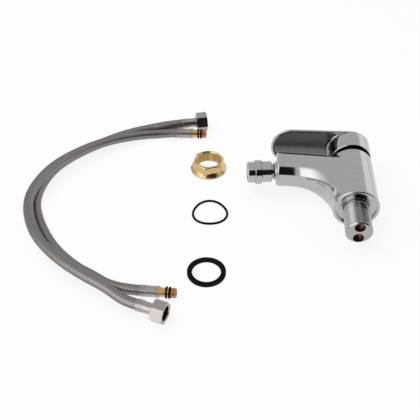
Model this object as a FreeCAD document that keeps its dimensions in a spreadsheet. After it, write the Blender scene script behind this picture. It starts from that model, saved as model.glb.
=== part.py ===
import FreeCAD, Part
import math
import os
import Sketcher

# Bidet mixer laid out as a kit on the floor: the mixer on its side, its fixing pieces and its two hoses.
# Lengths are in millimetres and angles in degrees. The mixer's pieces are drawn upright, with Z up the column
# from the mounting face and X towards the spout, and are then laid down: column along +Y, spout towards -X.

V = FreeCAD.Vector
doc = FreeCAD.newDocument("bidet_mixer")
sheet = doc.addObject("Spreadsheet::Sheet", "Sizes")

SIZES = (
    ("fit_gap", 0.05, "radial gap of a fixed fit between two pieces"),
    ("running_gap", 0.35, "gap between pieces that move past each other"),
    # column of the body
    ("base_radius", 24.5, "column radius at the mounting face"),
    ("base_edge", 2.0, "chamfer round the mounting face"),
    ("column_top_radius", 23.4, "column radius below its top edge"),
    ("column_top", 76.0, "height of the column"),
    ("column_round", 1.2, "rounding of the column's top edge"),
    ("groove_outer", 21.2, "outer radius of the seal groove in the base"),
    ("groove_inner", 16.2, "inner radius of the seal groove"),
    ("groove_depth", 2.6, "depth of the seal groove"),
    # spout
    ("spout_reach", 82.5, "column axis to the spout's tip"),
    ("spout_half_width", 16.6, "half width of the spout at its tip"),
    ("spout_flat", 0.9, "half length of the flat on the side of the tip"),
    ("spout_rise", 2.5, "how far the spout's top climbs above the column"),
    ("spout_root", 5.0, "where the spout's form starts inside the column"),
    ("spout_flare", 4.4, "widening of the spout at its root"),
    ("arch_foot", 10.0, "height where the arch meets the column"),
    ("arch_start", 23.5, "column axis to the foot of the arch"),
    ("mouth_tilt", 7.0, "fall of the outlet's axis"),
    ("mouth_drop", 1.7, "outlet's centre below the tip's centre"),
    ("mouth_radius", 13.6, "bore for the ball joint"),
    ("mouth_depth", 20.0, "depth of that bore"),
    # water ways
    ("inlet_way_radius", 2.5, "cold and hot ways from the sockets to the cartridge"),
    ("outlet_way_radius", 2.9, "mixed water way"),
    ("outlet_offset", 4.5, "the outlet port's distance behind the axis"),
    ("outlet_turn_height", 21.0, "height where the mixed way turns to the spout"),
    # shank
    ("shank_radius", 14.0, "M28 shank"),
    ("shank_length", 35.0, "shank below the mounting face"),
    ("shank_seat", 12.0, "shank inside the body"),
    ("shank_seat_radius", 13.0, "turned-down end of the shank inside the body"),
    ("shank_chamfer", 1.2, "chamfer of the shank's end"),
    ("socket_spacing", 14.0, "distance between the two hose sockets, and between the inlet ports"),
    ("socket_radius", 4.6, "M10 socket's wall"),
    ("socket_length", 13.0, "threaded length of a socket"),
    ("socket_mouth_radius", 5.65, "counterbore at a socket's mouth"),
    ("socket_mouth_depth", 4.5, "depth of that counterbore"),
    # cartridge
    ("seal_height", 1.4, "cartridge seals between the floor and the base plate"),
    ("seal_wall", 1.3, "wall of a cartridge seal"),
    ("plate_thickness", 4.6, "ported base plate"),
    ("peg_radius", 1.5, "locating pegs below the base plate"),
    ("peg_length", 3.4, "length of the pegs"),
    ("peg_circle", 13.2, "radius that the pegs stand on"),
    ("fixed_disc_thickness", 4.0, "ceramic disc with the ports"),
    ("fixed_disc_radius", 14.6, "radius of that disc"),
    ("disc_gap", 0.05, "water film between the two ceramic discs"),
    ("moving_disc_thickness", 4.4, "sliding ceramic disc"),
    ("moving_disc_radius", 11.2, "radius of that disc"),
    ("pocket_half_width", 8.2, "mixing pocket in the sliding disc, sideways"),
    ("pocket_length", 5.6, "length of that pocket"),
    ("pocket_lap", 0.4, "disc between the pocket and the inlet ports with the water off"),
    ("pocket_tail_width", 6.0, "width of the pocket's tail over the outlet port"),
    ("pocket_tail", 1.7, "length of that tail"),
    ("pocket_depth", 2.4, "depth of the pocket"),
    ("driver_thickness", 3.4, "plate that drives the sliding disc"),
    ("driver_boss_radius", 4.2, "boss that takes the stem's foot"),
    ("driver_boss_height", 2.0, "height of that boss above the driver's plate"),
    ("foot_seat", 0.2, "driver left below the socket of the stem's foot"),
    ("housing_radius", 17.5, "35 mm cartridge"),
    ("housing_wall", 1.8, "wall of the cartridge's shell"),
    ("neck_radius", 14.3, "neck of the cartridge's shell"),
    ("neck_rise", 9.0, "top of that neck above the pivot"),
    ("carrier_radius", 11.7, "turning carrier in the neck"),
    ("carrier_flange", 3.6, "thickness of the carrier's flange"),
    ("slot_half_width", 4.7, "carrier's slot for the stem, sideways"),
    ("slot_half_length", 7.9, "carrier's slot for the stem, along the tilt"),
    ("pivot_drop", 6.0, "stem's pivot below the column's top"),
    ("pivot_pin_radius", 1.5, "stem's pivot pin"),
    ("pin_running_gap", 0.05, "radial gap between the pin and the stem"),
    # stem
    ("stem_square", 8.0, "width of the square stem"),
    ("stem_top", 33.4, "top of the stem above the pivot"),
    ("stem_chamfer", 0.8, "chamfer of the stem's end"),
    ("stem_cheek", 4.2, "radius of the stem round the pivot"),
    ("stem_tilt", 12.5, "forward lean of the stem with the water off"),
    ("foot_arm", 12.5, "pivot to the centre of the stem's foot"),
    ("foot_radius", 2.5, "ball foot of the stem"),
    ("ankle_radius", 1.8, "neck above the foot"),
    # ring nut and dome
    ("nut_thread_radius", 19.0, "ring nut's outside thread"),
    ("ring_nut_height", 10.0, "height of the ring nut, whose top is level with the column's"),
    ("nut_slot_width", 4.0, "spanner slots in the ring nut"),
    ("nut_slot_depth", 2.5, "depth of those slots"),
    ("nut_slot_count", 4, "number of spanner slots"),
    ("dome_radius", 20.4, "trim dome's sphere about the pivot"),
    ("dome_wall", 1.5, "wall of the trim dome"),
    ("dome_hole", 12.4, "dome's hole for the stem"),
    # lever
    ("lever_half_width", 23.5, "half width of the lever, and radius of its cap"),
    ("lever_rise", 38.0, "lever's top above the pivot"),
    ("lever_rim", 4.7, "thickness of the paddle at its rim"),
    ("lever_reach", 88.0, "column axis to the lever's tip"),
    ("skirt_radius", 22.9, "cap's radius at the skirt"),
    ("skirt_rise", 11.6, "skirt's rim above the pivot, on the axis"),
    ("skirt_slope", 4.5, "fall of the skirt's rim to the front"),
    ("cap_bore", 21.4, "inner radius of the cap"),
    ("cap_ceiling", 3.6, "thickness of the cap's top"),
    ("lever_round", 3.6, "rounding of the lever's top edge"),
    ("recess_margin", 1.9, "rim round the hollow under the paddle"),
    ("recess_depth", 2.8, "depth of that hollow in the middle"),
    ("recess_curve", 100.0, "radius of the hollow's crown"),
    ("recess_gap", 1.3, "step between the cap's wall and the hollow"),
    ("boss_radius", 7.2, "lever's boss for the stem"),
    ("boss_start", 21.3, "foot of that boss above the pivot"),
    ("stem_hole_gap", 0.06, "gap round the square stem in the boss"),
    ("screw_rise", 27.4, "lever's screw above the pivot"),
    ("screw_radius", 2.5, "M5 screw"),
    ("screw_length", 6.0, "length of the screw"),
    ("screw_key_radius", 1.3, "key socket in the screw"),
    ("plug_radius", 3.4, "index plug"),
    ("plug_proud", 0.5, "how far the plug stands out"),
    ("plug_length", 2.6, "length of the plug's barrel in the wall"),
    ("plug_edge", 0.4, "chamfer of the plug's face"),
    ("plug_gap", 0.6, "gap behind the plug"),
    ("screw_boss_radius", 4.4, "boss round the screw, from the stem's boss to the cap's wall"),
    ("screw_boss_start", 9.0, "inner end of that boss"),
    # ball joint and aerator
    ("ball_radius", 12.0, "ball of the outlet"),
    ("ball_inset", 5.0, "ball's centre inside the mouth"),
    ("ball_back", 9.0, "flat behind the ball"),
    ("ball_bore", 4.8, "way through the ball"),
    ("ball_neck", 8.0, "neck of the ball, screwed into the aerator"),
    ("ball_neck_length", 15.5, "end of the neck from the ball's centre"),
    ("seat_back", 1.0, "how far the seat ring reaches behind the ball's centre"),
    ("ball_seal_front", 6.2, "front of the seal behind the ball's centre"),
    ("ball_seal_length", 7.4, "length of the ball's seal"),
    ("ball_seal_bore", 6.5, "way through the seal"),
    ("aerator_start", 10.6, "aerator's inner face from the ball's centre"),
    ("aerator_length", 26.2, "length of the aerator"),
    ("aerator_radius", 11.6, "radius of the aerator"),
    ("aerator_edge", 0.6, "chamfer of the aerator's ends"),
    ("band_radius", 13.3, "radius of the raised band"),
    ("band_start", 10.8, "start of the band from the inner face"),
    ("band_length", 7.7, "length of the band"),
    ("band_edge", 0.8, "chamfer of the band"),
    ("aerator_bore", 9.5, "bore for the insert"),
    ("aerator_way", 7.0, "way behind the insert"),
    ("insert_length", 9.0, "length of the insert"),
    ("insert_inset", 0.8, "insert's face inside the outlet's edge"),
    ("insert_floor", 3.0, "thickness of the grid"),
    ("insert_wall", 1.1, "wall of the insert"),
    ("grid_hole", 0.95, "radius of a hole in the grid"),
    ("grid_pitch", 2.4, "step between the rings of holes"),
    ("grid_rings", 3, "rings of holes round the middle one"),
    ("washer_thickness", 1.6, "washer above the insert"),
    # loose fixing pieces
    ("backnut_height", 14.0, "height of the backnut"),
    ("backnut_flange", 20.5, "radius of the backnut's flange"),
    ("backnut_flange_rim", 1.3, "straight rim of that flange"),
    ("backnut_flange_height", 3.4, "top of the flange's cone"),
    ("backnut_flats", 32.0, "backnut across its flats"),
    ("backnut_corner_round", 0.9, "how far the turned chamfer cuts into the corners"),
    ("backnut_bore", 13.3, "backnut's threaded bore"),
    ("backnut_lead", 1.0, "chamfer at both ends of that bore"),
    ("gasket_radius", 19.5, "outer radius of the gasket"),
    ("gasket_bore", 14.5, "bore of the gasket"),
    ("gasket_thickness", 2.5, "thickness of the gasket"),
    ("ring_radius", 18.85, "mean radius of the base's O-ring"),
    ("ring_cord", 1.0, "radius of its cord"),
    # hoses
    ("hose_radius", 5.4, "braided hose"),
    ("hose_bore", 3.4, "way through the hose"),
    ("ferrule_radius", 6.0, "crimped ferrule"),
    ("ferrule_length", 17.0, "length of the ferrule"),
    ("crimp_length", 6.6, "ribbed part of the ferrule"),
    ("crimp_depth", 0.45, "depth of the crimp's grooves"),
    ("barb_radius", 3.3, "hose tail inside the ferrule"),
    ("barb_length", 14.0, "length of the hose tail"),
    ("tail_bore", 2.4, "way through the tail"),
    ("collar_radius", 5.9, "collar of the M10 tail"),
    ("collar_length", 2.0, "length of the collar"),
    ("tail_neck_radius", 4.6, "neck of the M10 tail"),
    ("tail_neck_length", 5.0, "length of the neck"),
    ("tail_groove_radius", 3.5, "floor of the O-ring grooves"),
    ("tail_groove_width", 2.2, "width of an O-ring groove"),
    ("tail_land", 0.9, "land between the O-ring grooves"),
    ("tail_ring_cord", 1.0, "cord radius of the tail's O-rings"),
    ("tail_thread_radius", 5.0, "M10 thread"),
    ("tail_thread_length", 5.6, "length of that thread"),
    ("tail_chamfer", 0.6, "chamfer of the tail's end"),
    ("swivel_flats", 20.0, "swivel nut across its flats"),
    ("swivel_length", 12.5, "length of the swivel nut"),
    ("swivel_wall", 2.3, "inner wall of the swivel nut"),
    ("swivel_hole", 5.6, "hole in that wall"),
    ("swivel_bore", 7.5, "thread of the swivel nut"),
    ("swivel_relief", 7.9, "relief behind that thread, round the flange and the washer"),
    ("swivel_chamfer", 0.7, "how far the turned chamfer cuts into the corners"),
    ("tailpiece_flange", 7.1, "flange that the swivel nut pulls on"),
    ("tailpiece_flange_length", 1.8, "thickness of that flange"),
    ("nut_washer_bore", 3.6, "bore of the swivel nut's washer"),
    ("nut_washer_thickness", 2.0, "thickness of that washer"),
    ("rest_gap", 0.1, "gap between the lying hoses and the floor"),
)

for row, (alias, number, words) in enumerate(SIZES, 1):
    sheet.set(f"A{row}", words)
    sheet.set(f"B{row}", str(number))
    sheet.setAlias(f"B{row}", alias)
doc.recompute()


class Size:
    """A length with its number and the sheet expression that it comes from."""

    def __init__(self, number, text):
        self.number = number
        self.text = text

    def __add__(self, other):
        other = sized(other)
        return Size(self.number + other.number, f"({self.text} + {other.text})")

    def __radd__(self, other):
        return sized(other) + self

    def __sub__(self, other):
        other = sized(other)
        return Size(self.number - other.number, f"({self.text} - {other.text})")

    def __rsub__(self, other):
        return sized(other) - self

    def __mul__(self, factor):
        factor = sized(factor)
        return Size(self.number * factor.number, f"({self.text} * {factor.text})")

    def __rmul__(self, factor):
        return sized(factor) * self

    def __truediv__(self, factor):
        factor = sized(factor)
        return Size(self.number / factor.number, f"({self.text} / {factor.text})")

    def __neg__(self):
        return Size(-self.number, f"(-1 * {self.text})")


def sized(length):
    if isinstance(length, Size):
        return length
    return Size(float(length), repr(float(length)))


class Sheet:
    """Gives each of the sheet's cells by its name, as a Size."""

    def __getattr__(self, alias):
        return Size(float(getattr(sheet, alias)), f"Sizes.{alias}")


s = Sheet()
ORIGIN_ROLES = {"XY": "XY_Plane", "XZ": "XZ_Plane", "YZ": "YZ_Plane"}
AXIS = V(0, 0, 1)
LAID_DOWN = FreeCAD.Placement(V(0, 0, 0), FreeCAD.Rotation(V(-1, 0, 0), V(0, 0, 1), V(0, 1, 0), "XYZ"))
nodes = []


def bind(thing, prop, length):
    """Bind a property to its sheet expression."""
    thing.setExpression(prop, sized(length).text)


def node(label, thing, placement=None):
    """Name a finished piece and put it in its place."""
    thing.Label = label
    if placement is not None:
        thing.Placement = placement
    nodes.append(thing)
    return thing


def upright(height=0.0):
    """Place for a piece drawn upright at a height on the column."""
    return LAID_DOWN * FreeCAD.Placement(V(0, 0, sized(height).number), FreeCAD.Rotation())


def new_body(name):
    return doc.addObject("PartDesign::Body", name)


def origin_plane(body, plane):
    for feature in body.Origin.OriginFeatures:
        if feature.Role == ORIGIN_ROLES[plane]:
            return feature
    raise ValueError(plane)


def new_sketch(body, plane, offset=0):
    sketch = body.newObject("Sketcher::SketchObject", body.Name + "_sketch")
    sketch.AttachmentSupport = [(origin_plane(body, plane), "")]
    sketch.MapMode = "FlatFace"
    if sized(offset).number:
        bind(sketch, "AttachmentOffset.Base.z", offset)
    return sketch


def hold(sketch, geometry, point, across, along):
    """Tie a point of the sketch to its two coordinates."""
    for kind, length, axis in (("DistanceX", sized(across), -2), ("DistanceY", sized(along), -1)):
        if length.number == 0.0:
            sketch.addConstraint(Sketcher.Constraint("PointOnObject", geometry, point, axis))
        else:
            index = sketch.addConstraint(Sketcher.Constraint(kind, -1, 1, geometry, point, length.number))
            bind(sketch, f"Constraints[{index}]", length)


def outline(body, plane, points, offset=0):
    """Closed sketch of straight lines through the given points."""
    sketch = new_sketch(body, plane, offset)
    corners = [V(sized(a).number, sized(b).number, 0) for a, b in points]
    count = len(corners)
    for i in range(count):
        sketch.addGeometry(Part.LineSegment(corners[i], corners[(i + 1) % count]), False)
    for i in range(count):
        sketch.addConstraint(Sketcher.Constraint("Coincident", i, 2, (i + 1) % count, 1))
    for i, (a, b) in enumerate(points):
        hold(sketch, i, 1, a, b)
    return sketch


def turn(body, sketch):
    """Revolve a sketch about the body's Z axis."""
    feature = body.newObject("PartDesign::Revolution", body.Name + "_turn")
    feature.Profile = sketch
    feature.ReferenceAxis = (sketch, ["V_Axis"])
    feature.Angle = 360
    return feature


def turn_away(body, profile):
    """Cut a revolved profile out of the body."""
    doc.recompute()
    whole = body.Shape.Volume
    sketch = outline(body, "XZ", profile)
    feature = body.newObject("PartDesign::Groove", body.Name + "_groove")
    feature.Profile = sketch
    feature.ReferenceAxis = (sketch, ["V_Axis"])
    feature.Angle = 360
    cut_away(body, whole)


def cut_away(body, whole):
    """Stop if the last cut took nothing from its body."""
    doc.recompute()
    if body.Shape.Volume > whole - 0.5:
        raise ValueError(f"{body.Label}: the cut takes nothing")


def turned(name, profile):
    """Piece turned about Z from a list of (radius, height) corners."""
    body = new_body(name)
    turn(body, outline(body, "XZ", profile))
    return body


def pad(body, sketch, length):
    feature = body.newObject("PartDesign::Pad", body.Name + "_pad")
    feature.Profile = sketch
    bind(feature, "Length", length)
    return feature


def hexagon(body, flats, offset=0):
    """Sketch of a hexagon with two flats square to X."""
    half = flats / 2
    corner = flats * (0.5 / math.sqrt(3))
    points = [(half, -corner), (half, corner), (0, corner * 2)]
    points += [(-half, corner), (-half, -corner), (0, -corner * 2)]
    return outline(body, "XY", points, offset)


def eased(body, kind, prop, size, chosen):
    """Fillet or chamfer on the edges of the body that the test picks out."""
    doc.recompute()
    base = body.Tip
    names = [f"Edge{i}" for i, edge in enumerate(base.Shape.Edges, 1) if chosen(edge)]
    feature = body.newObject(f"PartDesign::{kind}", body.Name + "_ease")
    feature.Base = (base, names)
    bind(feature, prop, size)


def level_edge(height):
    """Test for an edge that lies at one height."""
    def test(edge):
        box = edge.BoundBox
        return abs(box.ZMin - height.number) < 0.001 and abs(box.ZMax - height.number) < 0.001
    return test


def put(thing, at, rotation=None, placement=None):
    """Put a solid at a point bound to the sheet, or at a placement worked out from it."""
    if placement is not None:
        thing.Placement = placement
        return
    thing.Placement = FreeCAD.Placement(V(0, 0, 0), rotation or FreeCAD.Rotation())
    for axis, length in zip("xyz", at):
        bind(thing, f"Placement.Base.{axis}", length)


def rod(name, radius, length, at=(0, 0, 0), rotation=None, placement=None):
    """Cylinder from a point, along Z or in the given rotation, or at a whole placement."""
    thing = doc.addObject("Part::Cylinder", name)
    bind(thing, "Radius", radius)
    bind(thing, "Height", length)
    put(thing, at, rotation, placement)
    return thing


def block(name, size, centre=(0, 0, 0), placement=None):
    """Box about a centre, or from its corner at a whole placement."""
    thing = doc.addObject("Part::Box", name)
    for prop, length in zip(("Length", "Width", "Height"), size):
        bind(thing, prop, length)
    put(thing, [sized(middle) - sized(length) / 2 for middle, length in zip(centre, size)], None, placement)
    return thing


def ball(name, radius, at=(0, 0, 0)):
    thing = doc.addObject("Part::Sphere", name)
    bind(thing, "Radius", radius)
    put(thing, at)
    return thing


def joined(name, pieces):
    thing = doc.addObject("Part::MultiFuse", name)
    thing.Shapes = pieces
    thing.Refine = True
    return thing


def less(name, base, tools):
    """The base with the tools cut away."""
    thing = doc.addObject("Part::Cut", name)
    thing.Base = base
    thing.Tool = tools[0] if len(tools) == 1 else joined(name + "_tools", tools)
    thing.Refine = True
    return thing


def shared(name, one, other):
    thing = doc.addObject("Part::Common", name)
    thing.Base = one
    thing.Tool = other
    return thing


def shaped(name, shape):
    """Piece whose form is worked out here rather than sketched."""
    thing = doc.addObject("Part::Feature", name)
    thing.Shape = shape
    return thing


SIDEWAYS = FreeCAD.Rotation(V(1, 0, 0), -90)
FORWARD = FreeCAD.Rotation(V(0, 1, 0), 90)
floor = -s.base_radius.number

# Heights on the column. The cartridge's pieces are worked down from the stem's pivot, each on the next.
pivot = s.column_top - s.pivot_drop
neck_top = pivot + s.neck_rise
lever_top = pivot + s.lever_rise
skirt_height = pivot + s.skirt_rise
screw_height = pivot + s.screw_rise
housing_top = s.column_top - s.ring_nut_height
foot_floor = pivot - s.foot_arm - s.foot_radius - s.running_gap
moving_top = foot_floor - s.foot_seat
moving_foot = moving_top - s.moving_disc_thickness
fixed_top = moving_foot - s.disc_gap
plate_top = fixed_top - s.fixed_disc_thickness
plate_foot = plate_top - s.plate_thickness
chamber_floor = plate_foot - s.seal_height
driver_top = moving_top + s.driver_thickness
carrier_foot = driver_top + s.running_gap
flange_top = carrier_foot + s.carrier_flange
housing_inside = s.housing_radius - s.housing_wall
disc_start = s.foot_arm.number * math.sin(math.radians(s.stem_tilt.number))

# Spout's outlet: the tip's centre follows the column's top, and the outlet's frame has Z out of the mouth.
tip_centre = s.column_top + s.spout_rise - s.spout_half_width - s.spout_flat
mouth_turn = FreeCAD.Rotation(V(0, 1, 0), 90 + s.mouth_tilt.number)
mouth_face = V(s.spout_reach.number, 0, (tip_centre - s.mouth_drop).number)
outward = mouth_turn.multVec(AXIS)
ball_centre = mouth_face - outward * s.ball_inset.number
OUTLET = LAID_DOWN * FreeCAD.Placement(ball_centre, mouth_turn)


# The arch falls to the column as this power of the way back from the tip.
ARCH_FALL = 3.6


def spout_section(reach):
    """Upright slot-shaped section of the spout at a distance from the column's axis."""
    width = s.spout_half_width.number
    inward = (s.spout_reach.number - reach) / (s.spout_reach.number - s.spout_root.number)
    down = min((s.spout_reach.number - reach) / (s.spout_reach.number - s.arch_start.number), 1.0)
    half = width + s.spout_flare.number * inward ** 4
    top = s.column_top.number + s.spout_rise.number * (1 - inward)
    tip_bottom = (tip_centre - s.spout_half_width - s.spout_flat).number
    bottom = tip_bottom - (tip_bottom - s.arch_foot.number) * down ** ARCH_FALL
    middle = (top + bottom) / 2
    flat = max((top - bottom) / 2 - half, 0.1)
    corners = [V(reach, half, middle - flat), V(reach, half, middle + flat)]
    corners += [V(reach, -half, middle + flat), V(reach, -half, middle - flat)]
    crown = Part.Arc(corners[1], V(reach, 0, middle + flat + half), corners[2]).toShape()
    keel = Part.Arc(corners[3], V(reach, 0, middle - flat - half), corners[0]).toShape()
    left = Part.makeLine(corners[0], corners[1])
    right = Part.makeLine(corners[2], corners[3])
    return Part.Wire([left, crown, right, keel])


def body_casting():
    """Column and spout in one casting, with its chamber and water ways."""
    column = new_body("column_form")
    turn(column, outline(column, "XZ", [
        (0, 0), (s.base_radius - s.base_edge, 0), (s.base_radius, s.base_edge),
        (s.column_top_radius, s.column_top - s.column_round), (s.column_top_radius, s.column_top),
        (0, s.column_top)]))
    eased(column, "Fillet", "Radius", s.column_round - s.fit_gap, level_edge(s.column_top))
    turn_away(column, [(s.groove_inner, 0), (s.groove_outer, 0), (s.groove_outer, s.groove_depth),
                       (s.groove_inner, s.groove_depth)])
    steps = 10
    start = s.spout_root.number
    reaches = [start + (s.spout_reach.number - start) * i / steps for i in range(steps + 1)]
    spout = shaped("spout_form", Part.makeLoft([spout_section(reach) for reach in reaches], True, False))
    tools = [
        rod("shank_socket", s.shank_seat_radius + s.fit_gap, s.shank_seat),
        rod("chamber", s.housing_radius + s.fit_gap, s.column_top - chamber_floor,
            (0, 0, chamber_floor)),
        rod("nut_bore", s.nut_thread_radius + s.fit_gap, s.column_top + 5 - housing_top,
            (0, 0, housing_top)),
        rod("outlet_port", s.outlet_way_radius, chamber_floor - s.outlet_turn_height,
            (-s.outlet_offset, 0, s.outlet_turn_height))]
    for side in (1, -1):
        tools.append(rod("inlet_way", s.inlet_way_radius, chamber_floor - s.shank_seat,
                         (0, s.socket_spacing / 2 * side, s.shank_seat)))
        tools.append(rod("peg_hole", s.peg_radius + s.fit_gap, s.peg_length,
                         (0, s.peg_circle * side, chamber_floor - s.peg_length + s.seal_height)))
    turn_point = V(-s.outlet_offset.number, 0, s.outlet_turn_height.number)
    mouth_floor = mouth_face - outward * s.mouth_depth.number
    run = mouth_floor + outward - turn_point
    tools.append(rod("outlet_way", s.outlet_way_radius, run.Length,
                     placement=FreeCAD.Placement(turn_point, FreeCAD.Rotation(AXIS, run))))
    tools.append(rod("mouth_bore", s.mouth_radius, s.mouth_depth * 2,
                     placement=FreeCAD.Placement(mouth_floor, mouth_turn)))
    return node("body_casting", less("body", joined("body_form", [column, spout]), tools), upright())


def threaded_shank():
    """M28 shank with the two M10 sockets for the hoses."""
    form = turned("shank_form", [
        (0, -s.shank_length), (s.shank_radius - s.shank_chamfer, -s.shank_length),
        (s.shank_radius, s.shank_chamfer - s.shank_length), (s.shank_radius, 0), (s.shank_seat_radius, 0),
        (s.shank_seat_radius, s.shank_seat), (0, s.shank_seat)])
    tools = []
    for side in (1, -1):
        across = s.socket_spacing / 2 * side
        tools.append(rod("socket_mouth", s.socket_mouth_radius, s.socket_mouth_depth,
                         (0, across, -s.shank_length)))
        tools.append(rod("socket", s.socket_radius, s.socket_length,
                         (0, across, s.socket_mouth_depth - s.shank_length)))
        tools.append(rod("shank_way", s.inlet_way_radius, s.shank_length + s.shank_seat,
                         (0, across, -s.shank_length)))
    return node("threaded_shank", less("shank", form, tools), upright())


PORTS = (("hot", 0, s.socket_spacing / 2, s.inlet_way_radius),
         ("cold", 0, -s.socket_spacing / 2, s.inlet_way_radius),
         ("mixed", -s.outlet_offset, 0, s.outlet_way_radius))


def port_tools(name, foot, height):
    """Cylinders that cut the three ports through a plate or a disc."""
    return [rod(f"{name}_{port}", radius, height, (x, y, foot)) for port, x, y, radius in PORTS]


def cartridge_seals():
    """One rubber ring round each port."""
    rings = [rod(f"seal_{port}", radius + s.seal_wall, s.seal_height, (x, y, chamber_floor))
             for port, x, y, radius in PORTS]
    whole = joined("seal_rings", rings)
    whole.Refine = False
    return node("cartridge_seals", less("seals", whole, port_tools("seal", chamber_floor, s.seal_height)),
                upright())


def cartridge_base():
    """Ported base plate with its two locating pegs."""
    plate = rod("plate", housing_inside - s.fit_gap, s.plate_thickness, (0, 0, plate_foot))
    rim = rod("plate_rim", s.housing_radius, s.plate_thickness / 2, (0, 0, plate_foot))
    pegs = [rod("peg", s.peg_radius, s.peg_length, (0, s.peg_circle * side, plate_foot - s.peg_length))
            for side in (1, -1)]
    form = joined("plate_form", [plate, rim] + pegs)
    return node("cartridge_base", less("plate_cut", form, port_tools("plate", plate_foot, s.plate_thickness)),
                upright())


def fixed_disc():
    form = rod("fixed_form", s.fixed_disc_radius, s.fixed_disc_thickness, (0, 0, plate_top))
    return node("fixed_disc", less("fixed", form, port_tools("fixed", plate_top, s.fixed_disc_thickness)),
                upright())


def moving_disc():
    """Sliding disc at the place it has with the water off, its pocket just behind the inlet ports."""
    form = rod("moving_form", s.moving_disc_radius, s.moving_disc_thickness, (-disc_start, 0, moving_foot))
    front = -s.inlet_way_radius - s.pocket_lap
    tail_length = s.pocket_length + s.pocket_tail
    pocket = block("pocket", (s.pocket_length, s.pocket_half_width * 2, s.pocket_depth),
                   (front - s.pocket_length / 2, 0, moving_foot + s.pocket_depth / 2))
    tail = block("pocket_tail", (tail_length, s.pocket_tail_width, s.pocket_depth),
                 (front - tail_length / 2, 0, moving_foot + s.pocket_depth / 2))
    return node("moving_disc", less("moving", form, [pocket, tail]), upright())


def disc_driver():
    """Plate that carries the sliding disc, with a socket for the stem's foot."""
    plate = rod("driver_plate", s.moving_disc_radius, s.driver_thickness, (-disc_start, 0, moving_top))
    boss = rod("driver_boss", s.driver_boss_radius, s.driver_thickness + s.driver_boss_height,
               (-disc_start, 0, moving_top))
    socket = rod("foot_socket", s.foot_radius + s.running_gap, driver_top + s.driver_boss_height - foot_floor,
                 (-disc_start, 0, foot_floor))
    return node("disc_driver", less("driver", joined("driver_form", [plate, boss]), [socket]), upright())


def turning_carrier():
    """Rotor that turns in the cartridge's neck and holds the stem's pivot pin."""
    flange = housing_inside - s.running_gap
    form = turned("carrier_form", [
        (0, carrier_foot), (flange, carrier_foot), (flange, flange_top), (s.carrier_radius, flange_top),
        (s.carrier_radius, neck_top), (0, neck_top)])
    slot = block("stem_slot", (s.slot_half_length * 2, s.slot_half_width * 2, neck_top - carrier_foot),
                 (0, 0, (neck_top + carrier_foot) / 2))
    pin_hole = rod("pin_hole", s.pivot_pin_radius, s.carrier_radius * 2,
                   (0, -s.carrier_radius, pivot), SIDEWAYS)
    return node("turning_carrier", less("carrier", form, [slot, pin_hole]), upright())


def pivot_pin():
    length = s.carrier_radius * 2 - 0.6
    place = upright(pivot) * FreeCAD.Placement(V(0, -length.number / 2, 0), SIDEWAYS)
    return node("pivot_pin", rod("pin", s.pivot_pin_radius, length, placement=place))


def stem():
    """Spindle drawn about its pivot: square above, round cheeks on the pin, ball foot below."""
    half = s.stem_square / 2
    body = new_body("stem_bar")
    pad(body, outline(body, "XY", [(-half, -half), (half, -half), (half, half), (-half, half)]), s.stem_top)
    eased(body, "Chamfer", "Size", s.stem_chamfer, level_edge(s.stem_top))
    cheeks = rod("stem_cheeks", s.stem_cheek, s.stem_square, (0, -half, 0), SIDEWAYS)
    ankle = rod("ankle", s.ankle_radius, s.foot_arm, (0, 0, -s.foot_arm))
    foot = ball("foot", s.foot_radius, (0, 0, -s.foot_arm))
    hole = rod("stem_pin_hole", s.pivot_pin_radius + s.pin_running_gap, s.stem_square + 2, (0, -half - 1, 0),
               SIDEWAYS)
    form = joined("stem_form", [body, cheeks, ankle, foot])
    return node("stem", less("stem_cut", form, [hole]), upright(pivot) * stem_lean)


def cartridge_housing():
    """Shell of the cartridge, with the neck that the carrier turns in."""
    inside = housing_inside
    ceiling = flange_top + s.running_gap
    bore = s.carrier_radius + s.running_gap
    return node("cartridge_housing", turned("housing", [
        (s.housing_radius, plate_foot + s.plate_thickness / 2 + s.fit_gap), (s.housing_radius, housing_top),
        (s.neck_radius, housing_top), (s.neck_radius, neck_top), (bore, neck_top), (bore, ceiling),
        (inside, ceiling), (inside, plate_foot + s.plate_thickness / 2 + s.fit_gap)]), upright())


def cartridge_nut():
    """Brass ring nut with spanner slots in its top face."""
    bore = s.neck_radius + s.fit_gap
    body = turned("ring_nut", [
        (bore, housing_top), (s.nut_thread_radius - 0.6, housing_top),
        (s.nut_thread_radius, housing_top + 0.6), (s.nut_thread_radius, s.column_top), (bore, s.column_top)])
    half = s.nut_slot_width / 2
    reach = s.nut_thread_radius + 1
    sketch = outline(body, "XY", [(bore - 1, -half), (reach, -half), (reach, half), (bore - 1, half)],
                     s.column_top - s.nut_slot_depth)
    doc.recompute()
    whole = body.Shape.Volume
    slot = body.newObject("PartDesign::Pocket", "nut_slot")
    slot.Profile = sketch
    slot.Reversed = True
    bind(slot, "Length", s.nut_slot_depth + 1)
    cut_away(body, whole)
    pattern = body.newObject("PartDesign::PolarPattern", "nut_slots")
    pattern.Originals = [slot]
    pattern.Axis = (sketch, ["N_Axis"])
    pattern.Angle = 360
    bind(pattern, "Occurrences", s.nut_slot_count)
    body.Tip = pattern
    return node("cartridge_nut", body, upright())


def dome_ring():
    """Trim dome, a spherical shell about the stem's pivot with a hole for the stem."""
    outer = ball("dome_outer", s.dome_radius, (0, 0, pivot))
    inner = ball("dome_inner", s.dome_radius - s.dome_wall, (0, 0, pivot))
    below = rod("below_dome", s.dome_radius + 1, s.dome_radius * 2, (0, 0, s.column_top - s.dome_radius * 2))
    hole = rod("dome_hole", s.dome_hole, s.dome_radius * 2, (0, 0, pivot))
    return node("dome_ring", less("dome", outer, [inner, below, hole]), upright())


stem_lean = FreeCAD.Placement(V(0, 0, 0), FreeCAD.Rotation(V(0, 1, 0), s.stem_tilt.number))


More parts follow.
